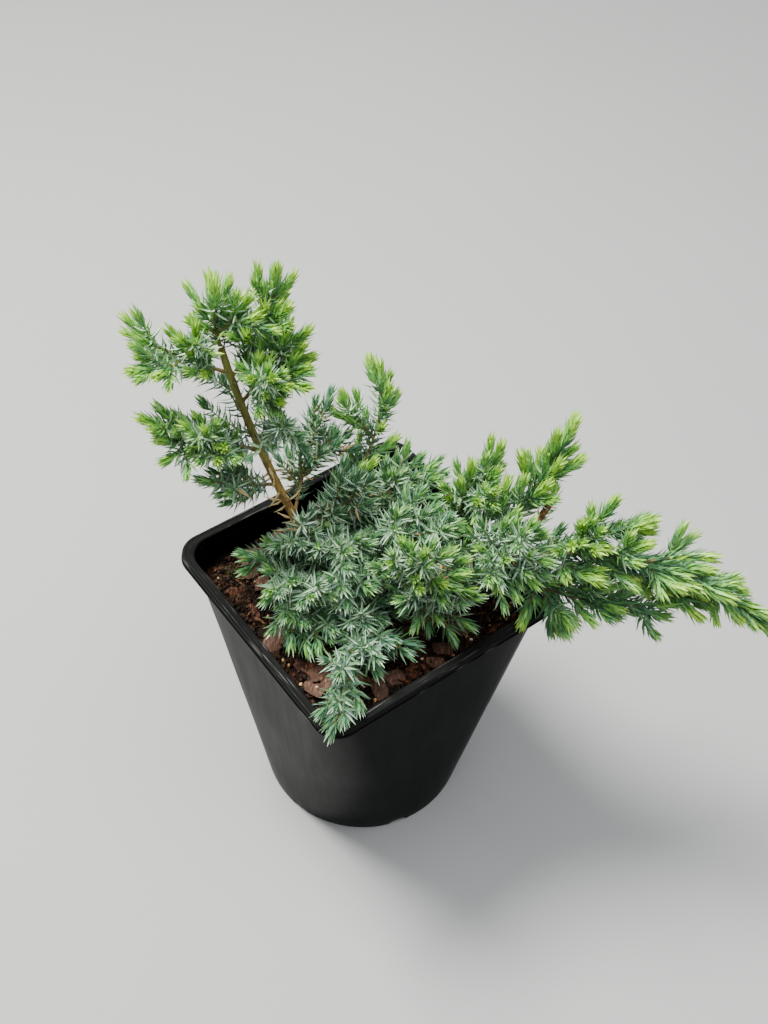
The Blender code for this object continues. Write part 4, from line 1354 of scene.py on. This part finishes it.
def mix_height(x, y):
    """Top of the potting mix: low lumps, and a flat patch for the trunk's foot."""
    away = math.hypot(x - FOOT.x, y - FOOT.y)
    swell = min(1.0, max(0.0, (away - FOOT_PATCH) / FOOT_PATCH))
    place = Vector((x, y, 0)) / LUMP_WIDTH
    lump = noise.noise(place) + 0.5 * noise.noise(2 * place)
    return MIX_LEVEL + MIX_LUMP * swell * (lump - 0.4)


def mix_top(x, y):
    """The lumps of the solids' top, with crumbs on it."""
    crumb = noise.noise(Vector((x, y, 2)) / (3.5 * MM)) + 0.6 * noise.noise(Vector((x, y, 3)) / (1.8 * MM))
    return mix_height(x, y) + 0.8 * MM * crumb


def make_mix():
    gap = WALL + MIX_CLEAR
    bottom = FLOOR + CLEAR
    rings = []
    for k in range(WALL_RINGS):
        rings.append(wall_ring(bottom + (MIX_LEVEL - bottom) * k / WALL_RINGS, gap))
    outer = wall_ring(MIX_LEVEL, gap)
    for k in range(MIX_RINGS):
        share = 1 - k / MIX_RINGS
        places = [p * share for p in outer]
        rings.append([Vector((p.x, p.y, mix_top(p.x, p.y))) for p in places])
    mix = skin_rings("mix_bed", rings, Vector((0, 0, mix_top(0, 0))))
    paint(mix, damp_mix())
    return mix


def crumb_shape(name, seed, length, width, thick, jag, level=1):
    """One chip or crumb: a cut block with broken corners, about a unit long."""
    rng = random.Random(seed)
    bpy.ops.mesh.primitive_ico_sphere_add(subdivisions=level, radius=0.5)
    thing = bpy.context.object
    thing.name = name
    for vert in thing.data.vertices:
        p = vert.co
        push = 1 + jag * noise.noise(p * 3.1 + Vector((seed, 0, 0)))
        for k in range(3):
            p[k] = math.copysign(min(abs(p[k]), 0.36 + 0.1 * rng.random()), p[k])
        p.x *= length * push * 1.3
        p.y *= width * push * 1.3
        p.z *= thick * 1.3
        p.z += 0.25 * thick * math.sin(3 * p.x) + thick * 0.3 * noise.noise(p * 2.3)
    return thing


def scatter_tree():
    """Strews copies of a shape over a surface, turned and sized at random."""
    tree = Tree("strewn_on_mix")
    shape = tree.input("Shape", "Object")
    density, smallest, largest, tilt, sink = [
        tree.input(name, "Float") for name in ("Density", "Smallest", "Largest", "Tilt", "Sink")]
    seed = tree.input("Seed", "Int")
    skin = tree.input("Skin", "Material")
    strewn = tree.node("GeometryNodeDistributePointsOnFaces", {"distribute_method": "RANDOM"}, {
        "Mesh": tree.entry.outputs["Geometry"], "Density": density, "Seed": seed})
    size = tree.node("FunctionNodeRandomValue", {"data_type": "FLOAT"}, {
        2: smallest, 3: largest, "Seed": seed})
    low = tree.node("ShaderNodeMath", {"operation": "MULTIPLY"}, {0: tilt, 1: -1.0}).outputs[0]
    least = tree.node("ShaderNodeCombineXYZ", {}, {"X": low, "Y": low, "Z": 0.0})
    most = tree.node("ShaderNodeCombineXYZ", {}, {"X": tilt, "Y": tilt, "Z": 2 * math.pi})
    turn = tree.node("FunctionNodeRandomValue", {"data_type": "FLOAT_VECTOR"}, {
        0: least.outputs[0], 1: most.outputs[0], "Seed": seed})
    rise = tree.node("ShaderNodeCombineXYZ", {}, {"X": 0.0, "Y": 0.0, "Z": sink})
    moved = tree.node("GeometryNodeSetPosition", {}, {
        "Geometry": strewn.outputs["Points"], "Offset": rise.outputs[0]})
    real = tree.strewn(moved.outputs["Geometry"], shape, turn.outputs[0], size.outputs[1])
    tree.feed(tree.exit.inputs["Geometry"], tree.painted(real, skin))
    return tree


def mix_patch(name, inset, centre=None, radius=0.0):
    """The part of the mix's top where things are strewn: all of it inside inset, or one round patch."""
    work = bmesh.new()
    half = RIM_HALF - FLANGE_WIDTH - WALL - inset
    count = int(2 * half / PATCH_STEP)
    grid = {}
    for i in range(count + 1):
        for j in range(count + 1):
            u, w = -half + 2 * half * i / count, -half + 2 * half * j / count
            over_u, over_w = max(0.0, abs(u) - half + RIM_CORNER), max(0.0, abs(w) - half + RIM_CORNER)
            x, y = pot_turned(u, w)
            if math.hypot(over_u, over_w) > RIM_CORNER or math.hypot(x - FOOT.x, y - FOOT.y) < FOOT_FREE:
                continue
            if centre is None or math.hypot(x - centre.x, y - centre.y) <= radius:
                grid[i, j] = work.verts.new((x, y, mix_height(x, y)))
    for (i, j), vert in grid.items():
        around = [vert, grid.get((i + 1, j)), grid.get((i + 1, j + 1)), grid.get((i, j + 1))]
        if all(around):
            work.faces.new(around)
    return built(name, work, outwards=False)


# A shape is length, width, thickness, jag and level. Then come how many there are in a square
# metre, the sizes in millimetres, the tilt, the rise and the inset, and a dark and a light colour.
Strewn = namedtuple("Strewn", "name shape density smallest largest tilt sink inset dark light")

BARK = (
    Strewn("large_bark_chips", (1.0, 0.58, 0.11, 0.3, 2), 4600, 10, 18, 0.22, 2.4, 9,
           (0.0420, 0.0200, 0.0125), (0.150, 0.078, 0.048)),
    Strewn("dark_bark_chips", (1.0, 0.6, 0.24, 0.5, 2), 9000, 4, 11, 0.7, 0.6, 6,
           (0.0030, 0.0012, 0.0007), (0.040, 0.016, 0.008)),
    Strewn("red_bark_chips", (1.0, 0.45, 0.22, 0.6, 2), 9000, 4, 11, 0.7, 1.0, 6,
           (0.016, 0.0050, 0.0025), (0.170, 0.062, 0.026)),
    Strewn("mix_crumbs", (1.0, 0.8, 0.7, 0.7, 1), 170000, 1.3, 3.6, 1.4, 0.5, 3,
           (0.0050, 0.0020, 0.0010), (0.080, 0.036, 0.015)),
    Strewn("bark_splinters", (1.0, 0.13, 0.10, 0.3, 1), 6500, 4, 12, 0.4, 1.4, 6,
           (0.035, 0.013, 0.006), (0.200, 0.098, 0.045)),
)
GRANULES = (
    Strewn("tan_granules", (1.0, 0.9, 0.8, 0.3, 1), 7500, 0.9, 2.0, 1.5, 1.8, 5,
           (0.36, 0.19, 0.07), (0.58, 0.38, 0.18)),
    Strewn("pale_grit", (1.0, 0.9, 0.8, 0.3, 1), 700, 0.9, 2.0, 1.5, 1.8, 5,
           (0.50, 0.44, 0.36), (0.68, 0.62, 0.54)),
)
MOSS = (
    Strewn("moss", (0.35, 0.35, 1.4, 0.4, 1), 900000, 1.1, 2.2, 0.5, 1.4, 4,
           (0.030, 0.045, 0.010), (0.085, 0.100, 0.028)),
)


def make_mix_litter():
    """Chips, crumbs, granules and a cushion of moss by the wall, one piece a kind."""
    tree = scatter_tree()
    made = []
    for kinds, skin, shape_seed, seed, patch in (
            (BARK, bark_chip, 3, 7, ()), (GRANULES, granule, 20, 31, ()),
            (MOSS, granule, 41, 5, (MOSS_PLACE, MOSS_WIDTH))):
        for k, kind in enumerate(kinds):
            shape = crumb_shape(kind.name + "_shape", shape_seed + k, *kind.shape)
            bed = mix_patch(kind.name, kind.inset * MM, *patch)
            tree.put_on(bed, Shape=shape, Density=float(kind.density), Smallest=kind.smallest * MM,
                        Largest=kind.largest * MM, Tilt=kind.tilt, Sink=kind.sink * MM,
                        Seed=seed + k, Skin=skin(kind.name, kind.dark, kind.light))
            made.append(plain_mesh(bed))
            bpy.data.objects.remove(shape, do_unlink=True)
    return made


def make_grit():
    """The one round pale stone that lies near the front corner."""
    bpy.ops.mesh.primitive_ico_sphere_add(subdivisions=3, radius=GRIT_RADIUS)
    stone = bpy.context.object
    stone.name = "round_stone"
    top = mix_height(GRIT_PLACE.x, GRIT_PLACE.y)
    for vert in stone.data.vertices:
        vert.co *= 1 + 0.08 * noise.noise(vert.co / (2 * MM))
        vert.co += Vector((GRIT_PLACE.x, GRIT_PLACE.y, top + GRIT_RADIUS * 0.6))
    paint(stone, granule("round_stone", (0.33, 0.24, 0.13), (0.52, 0.42, 0.28)))
    return stone


# Scene

def make_floor():
    """A plain pale floor, softly mottled."""
    bpy.ops.mesh.primitive_plane_add(size=8)
    floor = bpy.context.object
    floor.name = "studio_floor"
    look = Look("studio_floor_paint", (0.62, 0.62, 0.61), 0.8)
    cloud = look.noise(0.5, 3)
    look.colour(look.mix(cloud, (0.31, 0.31, 0.306), (0.35, 0.35, 0.346)))
    floor.data.materials.append(look.material)


def area_light(name, place, aim, size, power, colour):
    data = bpy.data.lights.new(name, "AREA")
    data.shape = "DISK"
    data.size = size
    data.energy = power
    data.color = colour
    light = new_object(name, data)
    light.location = place
    light.rotation_euler = (Vector(aim) - Vector(place)).to_track_quat("-Z", "Y").to_euler()


def make_lights():
    world = bpy.data.worlds.new("studio_air")
    world.use_nodes = True
    air = world.node_tree.nodes["Background"]
    air.inputs["Color"].default_value = (0.90, 0.95, 1.0, 1)
    air.inputs["Strength"].default_value = 0.5
    bpy.context.scene.world = world
    area_light("soft_key", (-0.7, 0.35, 1.7), (0.0, 0.0, 0.2), 0.7, 100, (1.0, 0.985, 0.95))
    area_light("broad_top", (0.4, -0.3, 2.0), (0.0, 0.0, 0.2), 1.8, 38, (0.96, 0.98, 1.0))


def make_camera():
    data = bpy.data.cameras.new("camera")
    data.sensor_width = SENSOR
    data.lens = FOCAL_PIXELS / PICTURE_LONG * SENSOR
    camera = new_object("camera", data)
    tip = Matrix.Rotation(math.radians(90) - CAMERA_PITCH, 4, "X")
    roll = Matrix.Rotation(CAMERA_ROLL, 4, "Z")
    camera.matrix_world = Matrix.Translation(CAMERA_PLACE) @ tip @ roll
    bpy.context.scene.camera = camera


def of_all(twigs):
    """The twigs of every mass, in the masses' order."""
    return [twig for mass in MASSES for twig in twigs[mass.name]]


def main():
    make_camera()
    make_lights()
    make_floor()
    finish_piece(make_pot(), "pot", "pot")
    finish_piece(make_mix(), "potting_mix", "potting_mix")
    for piece in (*make_mix_litter(), make_grit()):
        finish_piece(piece, "potting_mix")
    paths = limb_paths()
    finish_piece(make_bark("leader_stem", [TRUNK], paths, leader_bark()), "trunk_bark", "trunk")
    bark = make_bark("bough_stems", LEAFY_BOUGHS, paths, bough_bark())
    finish_piece(bark, "bough_bark", *[limb.name for limb in LEAFY_BOUGHS])
    cut = make_bark("cut_stub", [STUB], paths, cut_stub_bark(), RAGGED_CUT)
    finish_piece(cut, "bough_bark", STUB.name)
    room, leads, shoots, sprigs, limb_sprigs = grow_crown(paths)
    lead_skin = twig_skin("lead_skin", (0.22, 0.17, 0.045), (0.16, 0.09, 0.03))
    shoot_skin = twig_skin("shoot_skin", (0.17, 0.21, 0.05), (0.12, 0.14, 0.04))
    finish_piece(make_stems("lead_stems", of_all(leads), lead_skin), "bough_bark")
    finer = of_all(shoots) + of_all(sprigs) + limb_sprigs
    finish_piece(make_stems("shoot_stems", finer, shoot_skin), "bough_bark")
    needles = make_needles(paths, room, leads, shoots, sprigs, limb_sprigs)
    finish_piece(needles[0], "foliage", *[mass.name for mass in MASSES])
    for piece in needles[1:]:
        finish_piece(piece, "foliage")


main()
